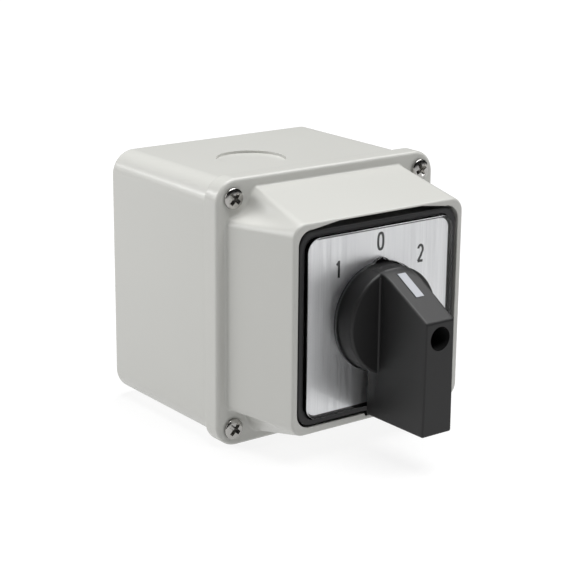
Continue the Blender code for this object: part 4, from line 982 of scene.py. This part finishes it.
MATERIALS = {
    "case": moulded("case_grey", (0.625, 0.625, 0.595), (0.61, 0.61, 0.58), 0.27, 2200.0, 1.2e-6, 3e-6),
    "black": moulded("satin_black", (0.0125, 0.0125, 0.013), (0.0155, 0.0155, 0.016), 0.48, 3200.0,
                     1.1e-5),
    "bezel": moulded("bezel_black", (0.017, 0.017, 0.018), (0.022, 0.022, 0.023), 0.46, 2600.0, 1e-5),
    "inner": moulded("thermoset_dark", (0.05, 0.05, 0.055), (0.035, 0.035, 0.04), 0.5, 1800.0, 1e-5),
    "acetal": moulded("acetal_natural", (0.76, 0.73, 0.63), (0.70, 0.67, 0.57), 0.4, 1400.0, 6e-6),
    "inlay": moulded("indicator_pale", (0.45, 0.465, 0.50), (0.42, 0.435, 0.47), 0.35, 2400.0, 6e-6),
    "rubber": moulded("gasket_black", (0.03, 0.03, 0.03), (0.022, 0.022, 0.022), 0.8, 900.0, 2e-5),
    "ink": moulded("print_black", (0.012, 0.012, 0.013), (0.03, 0.03, 0.03), 0.5, 4000.0, 2e-6),
    "chrome": metal("bright_chrome", (0.55, 0.54, 0.52), (0.38, 0.37, 0.36), 0.20, 900.0),
    "zinc": metal("zinc_plated", (0.60, 0.60, 0.58), (0.46, 0.47, 0.47), 0.32, 700.0),
    "spring": metal("drawn_steel", (0.42, 0.42, 0.43), (0.30, 0.30, 0.31), 0.28, 2600.0,
                    (1.0, 1.0, 0.2)),
    "brass": metal("satin_brass", (0.74, 0.56, 0.25), (0.58, 0.42, 0.17), 0.30, 1200.0,
                   (0.15, 1.0, 1.0)),
    "plate": brushed_plate(),
    "window": clear_plastic(),
    # dark grey for the window hole's wall: painted shade, not the colour that a cut edge of clear sheet has
    "pane_edge": moulded("pane_hole_painted_shade", (0.10, 0.10, 0.105), (0.08, 0.08, 0.085), 0.5, 2000.0, 6e-6),
}

# CAD nodes that stay in view get these materials: (start of the node's name, material)
KEPT = (("cover_gasket", "rubber"), ("panel_screw", "zinc"), ("mounting_plate", "inner"),
        ("detent_housing", "inner"), ("contact_block", "inner"), ("end_plate", "inner"),
        ("tie_bolt", "zinc"), ("fixed_contact", "brass"), ("terminal_screw", "zinc"),
        ("detent_spring", "spring"), ("handle_screw", "zinc"), ("position_indicator", "inlay"),
        ("shaft", "zinc"), ("detent_wheel", "acetal"), ("cam_", "acetal"),
        ("plunger", "acetal"), ("contact_bridge", "brass"))
KEPT_EDGE = 0.12 * MM         # softening of their sharp edges
KEPT_EDGE_ANGLE = 40.0


# ------------------------------ pieces

def add_piece(name, mesh, materials, body, slot, *nodes):
    """Shown object that rides on a body and stands for the named nodes."""
    mesh.name = name
    mesh.materials.clear()
    for key in materials.split():
        mesh.materials.append(MATERIALS[key])
    piece = bpy.data.objects.new(name, mesh)
    bpy.context.scene.collection.objects.link(piece)
    piece.modifiers.new("Even normals", "WEIGHTED_NORMAL").keep_sharp = True
    if body:
        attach(piece, body)
    if nodes:
        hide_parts(*nodes)
    return piece


def add_shells():
    add_piece("cover_shell", cover_mesh(), "case", "enclosure", "enclosure_plastic", "enclosure_cover")
    add_piece("base_shell", base_mesh(), "case", "enclosure", "enclosure_plastic", "enclosure_base")


def add_dial():
    add_piece("dial_bezel", bezel_mesh(), "bezel", "enclosure", "black_plastic", "bezel_frame")
    plate = plate_mesh(LEGEND_HALF, LEGEND_CORNER, LEGEND_BACK, LEGEND_FRONT,
                       LEGEND_BACK_EDGE, HOLE_EDGE, HOLE_EDGE)
    add_piece("dial_plate", plate, "plate", "enclosure", "brushed_aluminium", "legend_plate")
    pane = plate_mesh(WINDOW_HALF, WINDOW_CORNER, WINDOW_BACK, WINDOW_FRONT,
                      WINDOW_BACK_EDGE, WINDOW_ROUNDING, HOLE_EDGE)
    add_piece("dial_window", pane, "window pane_edge", "enclosure", "clear_window", "clear_window")
    hole_end = DIAL_NOTCH_Z + DIAL_NOTCH_RADIUS + GAP
    for face in pane.polygons:
        if abs(face.normal.y) < 0.5 and math.hypot(face.center.x, face.center.z) < hole_end:
            face.material_index = 1          # painted shade: the hole's wall is coloured dark grey so that it carries no light round the knob
    for digit, x, z in NUMERALS:
        add_piece(f"numeral_{digit}", numeral_mesh(digit, x, z), "ink", "enclosure", "black_plastic")


def add_handle():
    add_piece("turn_handle", handle_mesh(), "black", "rotor", "black_plastic", "handle")


def add_cover_screws():
    low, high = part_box("cover_screw_1")
    head_radius = (high.x - low.x) / 2
    for number, (x, z) in enumerate(COVER_SCREWS, 1):
        add_piece(f"cover_fastener_{number}", screw_mesh(x, z, head_radius), "chrome",
                  "enclosure", "screw_chrome", f"cover_screw_{number}")


def add_springs():
    """Contact springs between block and carrier; the odd ones are above the shaft."""
    for number in range(1, 5):
        node = f"contact_spring_{number}"
        above = number % 2
        mesh, low, high = coil(f"coil_{number}", node, 1 if above else -1)
        piece = add_piece(f"coil_spring_{number}", mesh, "spring", None, "spring_steel", node)
        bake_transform(piece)


def dress_kept_nodes():
    """Materials and soft edges for the CAD nodes that stay."""
    for name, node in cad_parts.items():
        for start, material in KEPT:
            if name.startswith(start) and not node.hide_render:
                node.data.materials.clear()
                node.data.materials.append(MATERIALS[material])
                edge = node.modifiers.new("Edges", "BEVEL")
                edge.width = KEPT_EDGE
                edge.segments = 2
                edge.limit_method = "ANGLE"
                edge.angle_limit = math.radians(KEPT_EDGE_ANGLE)
                node.modifiers.new("Even normals", "WEIGHTED_NORMAL").keep_sharp = True


# ------------------------------ stage, light and camera

def add_floor():
    """A white table. It looks brighter than the light that it gives, so it shows little shadow."""
    place = Matrix.Translation((0.0, 0.0, cad_bounds[0].z - FLOOR_GAP))
    bm = bmesh.new()
    bmesh.ops.create_grid(bm, x_segments=1, y_segments=1, size=FLOOR_HALF, matrix=place)
    mesh = finished(bm)
    s = Surface("floor_pale")
    s.colour(s.blend(s.spread(s.noise(3.0), 0.0, 1.0), (0.165, 0.165, 0.165), (0.155, 0.155, 0.155)))
    s.shader.inputs["Roughness"].default_value = 0.8
    s.shader.inputs["Emission Color"].default_value = (1.0, 1.0, 1.0, 1.0)
    seen = s.tree.nodes.new("ShaderNodeLightPath").outputs["Is Camera Ray"]
    s.tree.links.new(s.spread(seen, FLOOR_LIGHT, FLOOR_GLOW, 0.0, 1.0), s.shader.inputs["Emission Strength"])
    s.material.cycles.emission_sampling = "NONE"
    mesh.materials.append(s.material)
    floor = bpy.data.objects.new("floor", mesh)
    bpy.context.scene.collection.objects.link(floor)


def add_light(name, lamp, place, direction):
    light = bpy.data.objects.new(name, lamp)
    light.location = place
    light.rotation_mode = "QUATERNION"
    light.rotation_quaternion = direction.to_track_quat("-Z", "Y")
    bpy.context.scene.collection.objects.link(light)


def add_world():
    """Surroundings: bright behind and to the left, dim in front."""
    world = bpy.data.worlds.new("studio")
    world.use_nodes = True
    tree = world.node_tree
    background = tree.nodes["Background"]
    coordinates = tree.nodes.new("ShaderNodeTexCoord")
    towards = tree.nodes.new("ShaderNodeVectorMath")
    towards.operation = "DOT_PRODUCT"
    towards.inputs[1].default_value = WORLD_BRIGHT_SIDE
    tree.links.new(coordinates.outputs["Generated"], towards.inputs[0])
    fade = tree.nodes.new("ShaderNodeMapRange")
    fade.interpolation_type = "SMOOTHSTEP"
    set_range(fade, *WORLD_FADE, WORLD_FRONT, WORLD_BACK)
    tree.links.new(towards.outputs["Value"], fade.inputs["Value"])
    tree.links.new(fade.outputs["Result"], background.inputs["Strength"])
    bpy.context.scene.world = world


def add_lights():
    """A wide soft light from above and two soft boxes behind on the left."""
    overhead = bpy.data.lights.new("overhead", "SUN")
    overhead.energy = SUN_STRENGTH
    overhead.angle = math.radians(SUN_SPREAD)
    add_light("overhead", overhead, (0.0, 0.0, 0.0), SUN_DIRECTION)
    for name, place, width, height, watts in SOFTBOXES:
        lamp = bpy.data.lights.new(name, "AREA")
        lamp.shape = "RECTANGLE"
        lamp.size = width
        lamp.size_y = height
        lamp.energy = watts
        add_light(name, lamp, place, Vector(LIGHT_TARGET) - Vector(place))


def add_camera():
    """Camera at the photograph's place and angle."""
    flat = math.cos(CAMERA_PITCH)
    forward = Vector((math.sin(CAMERA_YAW) * flat, math.cos(CAMERA_YAW) * flat, -math.sin(CAMERA_PITCH)))
    right = Vector((math.cos(CAMERA_YAW), -math.sin(CAMERA_YAW), 0.0))
    up = right.cross(forward)
    side = math.cos(CAMERA_ROLL) * right - math.sin(CAMERA_ROLL) * up
    top = math.sin(CAMERA_ROLL) * right + math.cos(CAMERA_ROLL) * up
    turn = Matrix((side, top, -forward)).transposed()
    data = bpy.data.cameras.new("camera")
    data.lens = CAMERA_LENS
    data.sensor_width = CAMERA_SENSOR
    camera = bpy.data.objects.new("camera", data)
    camera.matrix_world = Matrix.Translation(CAMERA_PLACE) @ turn.to_4x4()
    bpy.context.scene.collection.objects.link(camera)
    bpy.context.scene.camera = camera


add_camera()
add_world()
add_lights()
add_floor()
add_shells()
add_dial()
add_handle()
add_cover_screws()
add_springs()
dress_kept_nodes()
bpy.context.scene.view_settings.view_transform = "Standard"
